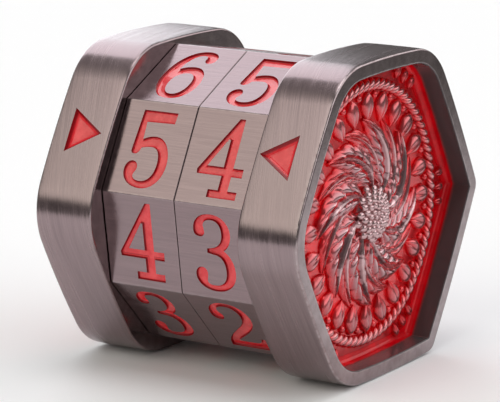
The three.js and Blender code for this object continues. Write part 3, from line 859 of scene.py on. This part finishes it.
def ring_body(name, rings, side, materials):
    """A body whose section goes round through rings of (place along, outline, material)."""
    rows = [[(side * along, AXIS_Y + u, AXIS_Z + v) for u, v in outline] for along, outline, _ in rings]
    mesh = loft(name, rows, open_ended=False)
    mesh.transform(Matrix.Scale(MM, 4))
    slots = [slot for _, outline, slot in rings for _ in outline]
    mesh.polygons.foreach_set("material_index", slots)
    tidy_mesh(mesh, MERGE, drop_slivers=True)
    return new_object(name, mesh, materials)


def laid(slot, rings):
    """The rings with their material, which holds from each of them to the next."""
    return [(along, outline, slot) for along, outline in rings]


def rounded_edge(outline_at, along, toward, radius, start, finish, drop=0.0):
    """Rings round an edge. The angle runs from start to finish, and at zero the ring is on the side."""
    rings = []
    for step in range(EDGE_STEPS + 1):
        angle = math.radians(start + (finish - start) * step / EDGE_STEPS)
        inset = drop + radius * (1 - math.cos(angle))
        rings.append((along - toward * radius * (1 - math.sin(angle)), outline_at(inset)))
    return rings


def cap_rings():
    """The right cap's section, from its screw hole round by the recess, the flats and the hub."""
    metal, wall, end = 0, 1, 2
    base = cap_outline(0)
    hole = circle_like(base, SCREW_HOLE_RADIUS)
    head = circle_like(base, HEAD_SPACE_RADIUS)
    hub = circle_like(base, HUB_RADIUS)
    socket = circle_like(base, SOCKET_RADIUS)
    socket[:, 1] = np.clip(socket[:, 1], -SOCKET_HALF_WIDTH, SOCKET_HALF_WIDTH)
    recess = recess_outline(0)
    seat = PLATE_BACK - HEAD_SPACE_DEPTH
    floor = HUB_FACE + SOCKET_DEPTH
    recess_edge = rounded_edge(recess_outline, CAP_OUTER, 1, CAP_EDGE / 2, 0, 90)
    outer_edge = rounded_edge(cap_outline, CAP_OUTER, 1, CAP_EDGE, 90, 0, END_ROLL)
    inner_edge = rounded_edge(cap_outline, CAP_INNER, -1, CAP_EDGE, 0, 90, END_ROLL)
    rolls = [(END_ROLL_WIDTH * (1 - share), cap_outline(END_ROLL * share**2)) for share in END_ROLL_SHARES]
    flats = [(CAP_OUTER - CAP_EDGE - away, outline) for away, outline in rolls]
    flats += [(CAP_INNER + CAP_EDGE + away, outline) for away, outline in reversed(rolls)]
    support = cap_outline(CAP_EDGE + SUPPORT)
    recess_support = recess_outline(CAP_EDGE / 2 + SUPPORT)
    return [
        *laid(metal, [(floor, hole), (seat, hole), (seat, head), (PLATE_BACK, head)]),
        *laid(wall, [(along, recess) for along in WALL_RINGS] + recess_edge[:-1]),
        *laid(end, [recess_edge[-1], (CAP_OUTER, recess_support), (CAP_OUTER, support)]),
        *laid(metal, outer_edge + flats + inner_edge[:-1]),
        *laid(end, [inner_edge[-1], (CAP_INNER, support)]),
        *laid(metal, [(CAP_INNER, hub), (HUB_FACE, hub), (HUB_FACE, socket), (floor, socket)]),
    ]


def drum_outline(inset):
    """The drum's ten flats, with narrow rounded corners and a supporting point on each side of them."""
    radii = [DRUM_EDGE] * FIGURE_COUNT
    turn = math.radians(ARROW_ANGLE + CLICK_TURN + FIGURE_PITCH / 2)
    outline = rounded_polygon(DRUM_APOTHEM, radii, inset, turn, EDGE_STEPS)
    corners = outline.reshape(FIGURE_COUNT, -1, 2)
    points = []
    for index, corner in enumerate(corners):
        before = corners[index - 1][-1] - corner[0]
        after = corners[(index + 1) % FIGURE_COUNT][0] - corner[-1]
        first = corner[0] + before * SUPPORT / np.linalg.norm(before)
        last = corner[-1] + after * SUPPORT / np.linalg.norm(after)
        points += [first, *corner, last]
    return np.array(points)


def drum_rings():
    """The right drum's section, from its bore round by the outer end, the flats and the seam."""
    base = drum_outline(0)
    bore = circle_like(base, BORE_RADIUS)
    hub_space = circle_like(base, HUB_SPACE_RADIUS)
    washer_space = circle_like(base, WASHER_SPACE_RADIUS)
    support = drum_outline(DRUM_EDGE + SUPPORT)
    hub_floor = DRUM_OUTER - HUB_SPACE_DEPTH
    washer_floor = DRUM_INNER + WASHER_SPACE_DEPTH
    rings = [(washer_floor, bore), (hub_floor, bore), (hub_floor, hub_space), (DRUM_OUTER, hub_space)]
    rings += [(DRUM_OUTER, support), *rounded_edge(drum_outline, DRUM_OUTER, 1, DRUM_EDGE, 90, 0)]
    rings += [(DRUM_OUTER - DRUM_EDGE - SUPPORT, base), (DRUM_INNER + DRUM_EDGE + SUPPORT, base)]
    rings += [*rounded_edge(drum_outline, DRUM_INNER, -1, DRUM_EDGE, 0, 90), (DRUM_INNER, support)]
    return laid(0, rings + [(DRUM_INNER, washer_space), (washer_floor, washer_space)])


def on_flat(angle, apothem, along):
    """Stands a drawing up on a flat whose normal is at the angle, reading to the right."""
    turn = math.radians(angle)
    normal = Vector((0, math.cos(turn), math.sin(turn)))
    up = Vector((0, math.sin(turn), -math.cos(turn)))
    matrix = Matrix((SPINDLE_LINE, up, normal)).transposed().to_4x4()
    matrix.translation = Vector((along, AXIS_Y, AXIS_Z)) + normal * apothem
    return Matrix.Scale(MM, 4) @ matrix


def contour_points(contour):
    """An outline's points in millimetres, with its curves cut up."""
    rows = [np.array(row).reshape(-1, 2) / 1000 * FIGURE_HEIGHT for row in contour]
    points = [*rows[0]]
    for *handles, end in rows[1:]:
        if not handles:
            points.append(end)
            continue
        start = points[-1]
        for step in range(1, CURVE_STEPS + 1):
            share = step / CURVE_STEPS
            rest = 1 - share
            near = rest**3 * start + 3 * rest**2 * share * handles[0]
            points.append(near + 3 * rest * share**2 * handles[1] + share**3 * end)
    if np.linalg.norm(points[0] - points[-1]) < CLOSING_GAP:
        points.pop()
    return points


def figure_cutter(figure, angle, along):
    """A solid in the shape of an engraved figure, rounded at the bottom of its strokes."""
    curve = bpy.data.curves.new("figure_cutter", "CURVE")
    curve.dimensions = "2D"
    curve.fill_mode = "BOTH"
    rise = (FIGURE_DEPTH - FIGURE_SLOPE + CUTTER_RISE) / 2
    curve.extrude = rise
    curve.bevel_depth = FIGURE_SLOPE
    curve.bevel_resolution = FIGURE_STEPS - 1
    curve.offset = -FIGURE_SLOPE
    for contour in FIGURES[figure]:
        points = contour_points(contour)
        spline = curve.splines.new("POLY")
        spline.points.add(len(points) - 1)
        for point, (x, y) in zip(spline.points, points):
            point.co = (x, y, 0, 1)
        spline.use_cyclic_u = True
    holder = new_object("figure_cutter", curve)
    mesh = plain_mesh(holder)
    bpy.data.objects.remove(holder)
    lift = Matrix.Translation((0, 0, rise + FIGURE_SLOPE - FIGURE_DEPTH))
    mesh.transform(on_flat(angle, DRUM_APOTHEM, along) @ lift)
    return mesh


def arrow_cutter(pointing, along):
    """A solid in the shape of an engraved arrow, with walls that slope in to a narrower floor."""
    length = ARROW_LENGTH
    half = ARROW_HEIGHT / 2
    corners = np.array([(length / 2, 0), (-length / 2, half), (-length / 2, -half)]) * (pointing, 1)
    slant = math.hypot(length, half)
    sides = np.array([2 * half, slant, slant])
    centre = (corners * sides[:, None]).sum(axis=0) / sides.sum()
    inner_radius = length * half / (sides.sum() / 2)
    levels = [(CUTTER_RISE, 0.0)]
    levels += [(-ARROW_DEPTH * deep, ARROW_SLOPE * inwards) for deep, inwards in ARROW_WALL]
    rings = [(centre + (corners - centre) * (1 - inset / inner_radius), height) for height, inset in levels]
    mesh = loft("arrow_cutter", level_rows(rings))
    mesh.transform(on_flat(ARROW_ANGLE, CAP_APOTHEM, along))
    return mesh


def engrave(piece, cutters, flat_angles):
    """Cuts the shapes into the piece, and gives the cut the red enamel."""
    shapes = joined("cutters", cutters)
    tidy_mesh(shapes, CUTTER_MERGE)
    tool = new_object("cutters", shapes, [ENGRAVED_ENAMEL])
    boolean = piece.modifiers.new("engraving", "BOOLEAN")
    boolean.operation = "DIFFERENCE"
    boolean.solver = "EXACT"
    boolean.material_mode = "TRANSFER"
    boolean.object = tool
    apply_modifiers(piece)
    bpy.data.objects.remove(tool)
    tidy_mesh(piece.data, CRACK_MERGE, fill_cracks=True)
    mark_steepness(piece.data, flat_angles)


def mark_steepness(mesh, flat_angles):
    """Stores how far the engraved walls lean from their flat, from zero on the floors to one."""
    slot = list(mesh.materials).index(ENGRAVED_ENAMEL)
    directions = np.array([(0, *ray(math.radians(angle))) for angle in flat_angles])
    totals = np.zeros(len(mesh.vertices))
    counts = np.zeros(len(mesh.vertices))
    walls = []
    for face in mesh.polygons:
        spot = np.array(face.center) / MM - (0, AXIS_Y, AXIS_Z)
        lean = 1 - directions[np.argmax(directions @ spot)] @ np.array(face.normal)
        if face.material_index == slot and lean > FLOOR_LEAN:
            corners = list(face.vertices)
            totals[corners] += lean
            counts[corners] += 1
            walls.append(face)
    means = np.clip(totals / np.maximum(counts, 1), 0, 1)
    values = np.zeros(len(mesh.loops))
    for face in walls:
        values[list(face.loop_indices)] = means[list(face.vertices)]
    store(mesh, "steepness", values, "CORNER")


def smooth_with_sharp_edges(piece, degrees):
    """Shades the piece smooth except at its corners, with the large faces kept flat."""
    piece.data.shade_smooth()
    piece.data.set_sharp_from_angle(angle=math.radians(degrees))
    modifier = piece.modifiers.new("weighted_normals", "WEIGHTED_NORMAL")
    modifier.keep_sharp = True
    apply_modifiers(piece)


def mark_wear(mesh, wear_at):
    """Stores how rubbed each point is, from zero to one."""
    places = gathered(mesh.vertices, "co", 3) / MM
    store(mesh, "edge_wear", wear_at(np.abs(places[:, 0]), places[:, 1:] - (AXIS_Y, AXIS_Z)))


def from_outline(spots, outline):
    """How far each spot is from an outline's line, looking along the spindle."""
    best = np.full(len(spots), np.inf)
    for start, end in zip(outline, np.roll(outline, -1, axis=0)):
        line = end - start
        share = np.clip(((spots - start) @ line) / (line @ line), 0, 1)
        best = np.minimum(best, np.linalg.norm(spots - start - share[:, None] * line, axis=1))
    return best


def cap_wear(along, spots):
    """Wear runs along the edges of the flats and of the recess."""
    from_ends = np.minimum(CAP_OUTER - along, np.abs(along - CAP_INNER))
    from_lines = from_outline(spots, cap_outline(0))
    outer_end = CAP_OUTER - along < CAP_EDGE
    from_recess = from_outline(spots, recess_outline(0))
    from_lines = np.where(outer_end, np.minimum(from_lines, from_recess), from_lines)
    wear = np.clip(WEAR_REACH - np.maximum(from_ends, from_lines) / CAP_EDGE, 0, 1)
    return np.where(outer_end, wear, INNER_EDGE_WEAR * wear)


def drum_wear(along, spots):
    """Wear runs along the ends' edges and the corners between flats."""
    angle = np.degrees(np.arctan2(spots[:, 1], spots[:, 0])) - ARROW_ANGLE - CLICK_TURN
    from_corner = np.abs(angle % FIGURE_PITCH - FIGURE_PITCH / 2)
    outside = np.hypot(spots[:, 0], spots[:, 1]) > DRUM_APOTHEM - DRUM_EDGE
    corner = np.clip(CORNER_WEAR - from_corner / CORNER_WEAR_TURN, 0, 1)
    ends = np.clip(1 - np.minimum(DRUM_OUTER - along, along - DRUM_INNER) / DRUM_EDGE, 0, 1)
    return np.where(outside, np.maximum(corner, ends), 0)


def make_cap(side):
    hand = HANDS[side]
    piece = ring_body(f"{hand}_cap_shell", cap_rings(), side, [CAP_METAL, RECESS_WALL, RIM_METAL])
    centre = side * (CAP_INNER + ARROW_SETBACK + ARROW_LENGTH / 2) - ARROWS_LEFT
    engrave(piece, [arrow_cutter(-side, centre)], [ARROW_ANGLE])
    mark_wear(piece.data, cap_wear)
    smooth_with_sharp_edges(piece, SHARP_EDGE)
    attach(piece, "case")
    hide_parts(f"{hand}_cap")


def make_drum(side, wheel, arrow_figure, figures_left):
    piece = ring_body(f"{wheel}_drum_ring", drum_rings(), side, [DRUM_METAL])
    middle = side * (DRUM_INNER + DRUM_OUTER) / 2 - figures_left
    angles = [ARROW_ANGLE + CLICK_TURN - index * FIGURE_PITCH for index in range(FIGURE_COUNT)]
    figures = [(arrow_figure + index) % FIGURE_COUNT for index in range(FIGURE_COUNT)]
    engrave(piece, [figure_cutter(figure, angle, middle) for figure, angle in zip(figures, angles)], angles)
    mark_wear(piece.data, drum_wear)
    smooth_with_sharp_edges(piece, SHARP_EDGE)
    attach(piece, f"{wheel}_wheel")
    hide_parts(f"{wheel}_drum")


def relief_ground(radius):
    """How far the ornament's ground rises above the plate's flat."""
    share = np.clip(radius / GROUND_RADIUS, 0, 1)
    return GROUND_RISE * (1 - share**2) ** GROUND_POWER


def swell(share, start, reach, power):
    """Zero at both ends and one between, for a share of the way from root to tip."""
    return math.sin(math.pi * (start + reach * share) ** power)


def ridge(place, height, middle, width):
    """A soft ridge across a leaf or petal."""
    return height * math.exp(-(((place - middle) / width) ** 2))


def back(place, full, squareness, end_power):
    """The round back of a leaf or petal, from one in the middle to zero at the edges."""
    return (1 - abs(place) ** squareness) ** BACK_POWER * full**end_power


def lobe(share, place, lobe_count):
    """Zero between a leaf's lobes and one along their middles, which lean towards the tip."""
    return abs(math.sin(math.pi * lobe_count * (share - LOBE_LEAN * place + 1)))


def leaf_mesh(root, tip, width, height, lobe_count, start):
    """A swept leaf with scalloped lobes, a midrib and veins, with its height along Z."""
    sweep = math.radians(LEAF_SWEEP)
    rows = []
    for share in np.linspace(0, 1, LEAF_STEPS + 1):
        radius = root + (tip - root) * share
        angle = start + sweep * share**SWEEP_POWER
        lead = sweep * SWEEP_POWER * share ** (SWEEP_POWER - 1) * radius / (tip - root)
        across = ray(math.atan2(lead, 1) + angle + math.pi / 2)
        middle = radius * ray(angle)
        full = swell(share, *LEAF_SWELL)
        between_lobes = 1 - lobe(share, 1, lobe_count) ** LOBE_POWER
        half = width / 2 * full**BLUNTNESS * (1 - LOBE_DEPTH * between_lobes * (1 - share) ** LOBE_FADE)
        row = []
        for place in np.linspace(-1, 1, LEAF_ACROSS):
            x, y = middle + across * half * place
            away = abs(place)
            vein = VEIN_DEPTH * (1 - lobe(share, away, lobe_count) ** VEIN_POWER) * (1 - share) ** VEIN_FADE
            carving = ridge(place, *MIDRIB) - ridge(away, *RIB_GROOVE) - vein * min(away / VEIN_START, 1)
            body = LEAF_BODY - LEAF_FALL * away + TIP_LIFT * share**3
            rise = height * max(back(place, full, *LEAF_BACK) * (body + carving), 0)
            row.append((x, y, relief_ground(math.hypot(x, y)) + rise))
        row += [(*(middle + across * half * place), -RELIEF_ROOT) for place in (1, -1)]
        rows.append(row)
    return loft("leaf", rows)


def petal_mesh(inner, length, width, height, turn=0.0):
    """A fluted petal that points outwards, turned about Z by some degrees."""
    rows = []
    for share in np.linspace(0, 1, PETAL_STEPS + 1):
        x = inner + length * share
        full = swell(share, *PETAL_SWELL)
        half = width / 2 * full**BLUNTNESS * (PETAL_ROOT_WIDTH + (1 - PETAL_ROOT_WIDTH) * share)
        top = height * (PETAL_ROOT_HEIGHT + (PETAL_TIP_HEIGHT - PETAL_ROOT_HEIGHT) * share)
        row = []
        for place in np.linspace(-1, 1, PETAL_ACROSS):
            flute = 1 - ridge(place, *PETAL_FLUTE) * (1 - share)
            row.append((x, half * place, top * back(place, full, *PETAL_BACK) * flute))
        rows.append([*row, (x, half, -RELIEF_ROOT), (x, -half, -RELIEF_ROOT)])
    mesh = loft("petal", rows)
    mesh.transform(Matrix.Rotation(math.radians(turn), 4, "Z"))
    return mesh


def scale_mesh():
    """One small pointed scale, a millimetre long, which lies flat with its tip along X."""
    rows = []
    for share in np.linspace(0, 1, SCALE_STEPS + 1):
        x = share - SCALE_BACK
        half = SCALE_HALF_WIDTH * swell(share, *SCALE_SWELL)
        top = SCALE_RISE * swell(share, *SCALE_RISE_SWELL) ** SCALE_RISE_POWER
        places = np.linspace(-1, 1, SCALE_ACROSS)
        row = [(x, half * place, top * math.sqrt(1 - place**2)) for place in places]
        rows.append([*row, (x, half, -RELIEF_ROOT), (x, -half, -RELIEF_ROOT)])
    return loft("scale", rows)


def ground_mesh():
    """The plate's own face, which rises gently to the middle, down to its back."""
    outline = recess_outline(-FIT_GAP)
    direction = circle_like(outline, 1)
    plate_back = PLATE_BACK - PLATE_FACE
    levels = [(direction * POLE, plate_back), (outline, plate_back), (outline, 0)]
    radii = np.linspace(GROUND_RADIUS, POLE, GROUND_STEPS)
    levels += [(direction * radius, relief_ground(radius)) for radius in radii]
    return loft("ground", level_rows(levels))


def pool_mesh():
    """The enamel that climbs the recess's wall all round, hollow in section."""
    levels = []
    for angle in np.linspace(0, math.pi / 2, POOL_STEPS + 1):
        inset = FIT_GAP / 2 + MENISCUS * (1 - math.cos(angle)) ** MENISCUS_POWER
        height = FIT_GAP / 2 + MENISCUS * (1 - math.sin(angle)) ** MENISCUS_POWER
        levels.append((recess_outline(-inset), height))
    levels += [(recess_outline(-inset), -FIT_GAP) for inset in (MENISCUS, FIT_GAP / 2)]
    return loft("pool", level_rows(levels), open_ended=False)


def dome_mesh():
    """The rosette's round body."""
    circle = np.array([ray(2 * math.pi * step / ROUND_STEPS) for step in range(ROUND_STEPS)])
    levels = [(POLE * circle, -RELIEF_ROOT), (ROSETTE_RADIUS * circle, -RELIEF_ROOT)]
    for lean in np.linspace(math.pi / 2, POLE, DOME_STEPS):
        height = GROUND_RISE + ROSETTE_HEIGHT * math.cos(lean)
        levels.append((ROSETTE_RADIUS * math.sin(lean) * circle, height))
    return loft("dome", level_rows(levels))


def new_builder(name, sizes, geometry_of):
    """A node group that makes geometry of one material from a mesh and sizes with these names."""
    kinds = {label: "Int" if isinstance(size, int) else "Float" for label, size in sizes.items()}
    inputs = {"Geometry": "Geometry", "Material": "Material"} | kinds

    def dressed(nodes, mesh, material, *given):
        real = nodes.first("GeometryNodeRealizeInstances", [geometry_of(nodes, mesh, *given)])
        return [nodes.first("GeometryNodeSetMaterial", {"Geometry": real, "Material": material})]

    return new_group(name, "GeometryNodeTree", inputs, {"Geometry": "Geometry"}, dressed)


def spokes(nodes, mesh, count):
    """Repeats a mesh in even turns about Z."""
    points = nodes.first("GeometryNodePoints", {"Count": count})
    index = nodes.first("GeometryNodeInputIndex")
    turn = nodes.math("DIVIDE", nodes.times(index, 2 * math.pi), count)
    inputs = {"Points": points, "Instance": mesh, "Rotation": nodes.join_xyz(0.0, 0.0, turn)}
    return nodes.first("GeometryNodeInstanceOnPoints", inputs)


def rope(nodes, _, ring_radius, lay_radius, strand_radius, twists, steps, sides):
    """Two strands laid round each other along a ring."""
    circle = "GeometryNodeCurvePrimitiveCircle"
    ring = nodes.first(circle, {"Resolution": steps, "Radius": ring_radius})
    profile = nodes.first(circle, {"Resolution": sides, "Radius": strand_radius})
    share = nodes.first("GeometryNodeSplineParameter")
    turn = nodes.times(nodes.times(share, 2 * math.pi), twists)
    outward = nodes.vector("NORMALIZE", nodes.first("GeometryNodeInputPosition"))
    strands = nodes.add("GeometryNodeJoinGeometry")
    for start in (0.0, math.pi):
        angle = nodes.math("ADD", turn, start)
        out = nodes.times(nodes.math("COSINE", angle), lay_radius)
        rise = nodes.times(nodes.math("SINE", angle), lay_radius)
        offset = nodes.vector("ADD", nodes.scaled(outward, out), nodes.join_xyz(0.0, 0.0, rise))
        path = nodes.first("GeometryNodeSetPosition", {"Geometry": ring, "Offset": offset})
        strand = nodes.first("GeometryNodeCurveToMesh", {"Curve": path, "Profile Curve": profile})
        nodes.fill(strands, [strand])
    return strands.outputs[0]


def beads(nodes, _, count, ring_radius, bead_radius):
    """Beads in a ring."""
    ring = nodes.first("GeometryNodeMeshCircle", {"Vertices": count, "Radius": ring_radius})
    bead = nodes.first("GeometryNodeMeshIcoSphere", {"Radius": bead_radius, "Subdivisions": BEAD_STEPS})
    return nodes.first("GeometryNodeInstanceOnPoints", {"Points": ring, "Instance": bead})


def scaly_dome(nodes, scale, count, dome_radius, dome_height, scale_size, growth, lift):
    """Spreads a scale over a dome in the spiral order of a sunflower's seeds, larger towards its edge."""
    index = nodes.first("GeometryNodeInputIndex")
    out = nodes.math("SQRT", nodes.math("DIVIDE", nodes.math("ADD", index, 0.5), count))
    upright = nodes.math("COSINE", nodes.math("ARCSINE", out))
    turn = nodes.times(index, SUNFLOWER_TURN)
    radius = nodes.times(out, dome_radius)
    x = nodes.times(radius, nodes.math("COSINE", turn))
    y = nodes.times(radius, nodes.math("SINE", turn))
    place = nodes.join_xyz(x, y, nodes.times(upright, dome_height))
    fall = nodes.times(out, dome_height)
    tilt = nodes.math("ARCTAN2", fall, nodes.times(upright, dome_radius))
    size = nodes.times(nodes.math("MULTIPLY_ADD", out, growth, SMALLEST_SCALE), scale_size)
    inputs = {
        "Points": nodes.first("GeometryNodePoints", {"Count": count, "Position": place}),
        "Instance": scale,
        "Rotation": nodes.join_xyz(0.0, nodes.math("SUBTRACT", tilt, lift), turn),
        "Scale": nodes.join_xyz(size, size, size),
    }
    return nodes.first("GeometryNodeInstanceOnPoints", inputs)


SPOKE_TREE = new_builder("Spokes", {"Count": LEAF_COUNT}, spokes)
ROPE_TREE = new_builder("Rope ring", ROPE_SIZES, rope)
BEAD_TREE = new_builder("Bead ring", BEAD_SIZES, beads)
SCALE_TREE = new_builder("Dome of scales", SCALE_SIZES, scaly_dome)


def grown(mesh, tree, sizes):
    """The mesh that a node tree makes of a mesh and its named sizes, in the relief's metal."""
    piece = new_object(tree.name, mesh)
    modifier = piece.modifiers.new(tree.name, "NODES")
    modifier.node_group = tree
    values = {"Material": RELIEF_CAST, **sizes}
    for socket in tree.interface.items_tree:
        if socket.in_out == "INPUT" and socket.name in values:
            modifier[socket.identifier] = values[socket.name]
    apply_modifiers(piece)
    result = piece.data
    bpy.data.objects.remove(piece)
    return result


def mark_hollows(mesh):
    """Stores how hollow the surface is at each point: above zero in grooves, below zero on ridges."""
    count = len(mesh.vertices)
    places = gathered(mesh.vertices, "co", 3)
    normals = gathered(mesh.vertices, "normal", 3)
    first, second = gathered(mesh.edges, "vertices", 2, np.int64).T
    away = places[second] - places[first]
    away /= np.maximum(np.linalg.norm(away, axis=1), SHORTEST_EDGE * MM)[:, None]
    neighbours = np.maximum(np.bincount(first, minlength=count) + np.bincount(second, minlength=count), 1)
    rise = np.bincount(first, (away * normals[first]).sum(axis=1), count)
    rise += np.bincount(second, -(away * normals[second]).sum(axis=1), count)
    hollow = rise / neighbours
    around = np.bincount(first, hollow[second], count) + np.bincount(second, hollow[first], count)
    store(mesh, "hollow", (hollow + around / neighbours) / 2)


def make_ornament(side):
    """The cast plate at the bottom of a recess: a rosette, leaves, petals, beads and a rope border."""
    hand = HANDS[side]
    upper_leaf = leaf_mesh(**UPPER_LEAF, start=0.0)
    lower_leaf = leaf_mesh(**LOWER_LEAF, start=math.pi / LEAF_COUNT)
    scales = grown(scale_mesh(), SCALE_TREE, SCALE_SIZES)
    scales.transform(Matrix.Translation((0, 0, GROUND_RISE)))
    spokes = [(upper_leaf, LEAF_COUNT), (lower_leaf, LEAF_COUNT), (petal_mesh(**PETAL), PETAL_COUNT)]
    spokes += [(petal_mesh(**CORNER_PETAL, turn=turn), CORNER_COUNT) for turn in CORNER_TURNS]
    cast = [
        ground_mesh(),
        *[grown(spoke, SPOKE_TREE, {"Count": count}) for spoke, count in spokes],
        grown(bpy.data.meshes.new("rope"), ROPE_TREE, ROPE_SIZES),
        grown(bpy.data.meshes.new("beads"), BEAD_TREE, BEAD_SIZES),
        dome_mesh(),
        scales,
    ]
    pool = pool_mesh()
    for mesh in (*cast, pool):
        mesh.polygons.foreach_set("material_index", [int(mesh is pool)] * len(mesh.polygons))
    plate = joined(f"{hand}_ornament", [*cast, pool])
    placing = Matrix(((0, 0, side, side * PLATE_FACE), (1, 0, 0, AXIS_Y), (0, 1, 0, AXIS_Z), (0, 0, 0, 1)))
    plate.transform(Matrix.Scale(MM, 4) @ placing)
    tidy_mesh(plate, FINE_MERGE, drop_slivers=True)
    mark_hollows(plate)
    piece = new_object(f"{hand}_ornament", plate, [RELIEF_CAST, POOLED_ENAMEL])
    smooth_with_sharp_edges(piece, CAST_SHARP_EDGE)
    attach(piece, "case")
    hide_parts(f"{hand}_ornament_plate")


def dress_works():
    """Gives the CAD's pieces their own metals by the ends of their names, and steel to the others."""
    finishes = {"thrust_washer": NYLON, "center_washer": NYLON, "bush": BRONZE}
    finishes |= {"plate": RELIEF_CAST, "cap": CAP_METAL, "drum": CAP_METAL}
    for name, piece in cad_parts.items():
        found = [finish for ending, finish in finishes.items() if name.endswith(ending)]
        for slot in piece.material_slots:
            slot.material = found[0] if found else BRIGHT_STEEL


def add_camera():
    x, y = math.cos(CAMERA_ELEVATION) * ray(CAMERA_AZIMUTH)
    ahead = Vector((-y, x, -math.sin(CAMERA_ELEVATION)))
    right = Vector((*ray(CAMERA_AZIMUTH), 0))
    up = right.cross(ahead)
    data = bpy.data.cameras.new("camera")
    data.lens = LENS
    data.sensor_width = SENSOR
    data.sensor_fit = "HORIZONTAL"
    data.clip_start = 0.01
    data.clip_end = 20
    camera = new_object("camera", data)
    centre = Vector((0, AXIS_Y, AXIS_Z))
    place = centre - ahead * CAMERA_DISTANCE + right * CAMERA_RIGHT + up * CAMERA_UP
    matrix = Matrix((right, up, -ahead)).transposed().to_4x4() @ Matrix.Rotation(CAMERA_ROLL, 4, "Z")
    matrix.translation = place * MM
    camera.matrix_world = matrix
    bpy.context.scene.camera = camera


def add_floor():
    mesh = bpy.data.meshes.new("floor")
    mesh.from_pydata([(-1, -1, 0), (1, -1, 0), (1, 1, 0), (-1, 1, 0)], [], [(0, 1, 2, 3)])
    mesh.transform(Matrix.Scale(FLOOR_HALF * MM, 4))
    new_object("floor", mesh, [new_material("floor_paper", floor_paper)])


def softbox_share(nodes, direction, azimuth, elevation, softness):
    """How much of a direction is inside a softbox, given as ranges of degrees in the sky.

    Azimuth is counted from the back towards the right.
    """
    centre = math.radians(sum(azimuth) / 2)
    half = math.radians(azimuth[1] - azimuth[0]) / 2
    low, high = map(math.radians, elevation)
    soft = math.radians(softness)
    x, y, z = nodes.split_xyz(direction)
    ahead = nodes.math("MULTIPLY_ADD", x, math.sin(centre), nodes.times(y, math.cos(centre)))
    aside = nodes.math("MULTIPLY_ADD", x, math.cos(centre), nodes.times(y, -math.sin(centre)))
    from_centre = nodes.math("ABSOLUTE", nodes.math("ARCTAN2", aside, ahead))
    height = nodes.math("ARCSINE", z)
    inside = nodes.ramp(from_centre, half - soft, half + soft, 1.0, 0.0)
    above = nodes.ramp(height, low - soft, low + soft)
    below = nodes.ramp(height, high - soft, high + soft, 1.0, 0.0)
    return nodes.times(nodes.times(inside, above), below)


def add_sky():
    """The studio round the counter: a dim room with large soft boxes of light in it."""
    world = bpy.data.worlds.new("studio")
    world.use_nodes = True
    bpy.context.scene.world = world
    nodes = Nodes(world.node_tree)
    direction = nodes.add("ShaderNodeTexCoord").outputs["Generated"]
    colour = tuple(ROOM_LIGHT * part for part in ROOM_COLOUR)
    for azimuth, elevation, softness, strength, tint in SOFTBOXES:
        share = softbox_share(nodes, direction, azimuth, elevation, softness)
        colour = nodes.mix(share, colour, tuple(strength * part for part in tint))
    nodes.fill(world.node_tree.nodes["Background"], {"Color": colour})


for side in HANDS:
    make_cap(side)
make_drum(-1, "tens", arrow_figure=5, figures_left=TENS_FIGURES_LEFT)
make_drum(1, "units", arrow_figure=4, figures_left=0.0)
for side in HANDS:
    make_ornament(side)
dress_works()
add_camera()
add_floor()
add_sky()

scene = bpy.context.scene
scene.view_settings.view_transform = "Standard"
bpy.context.view_layer.update()
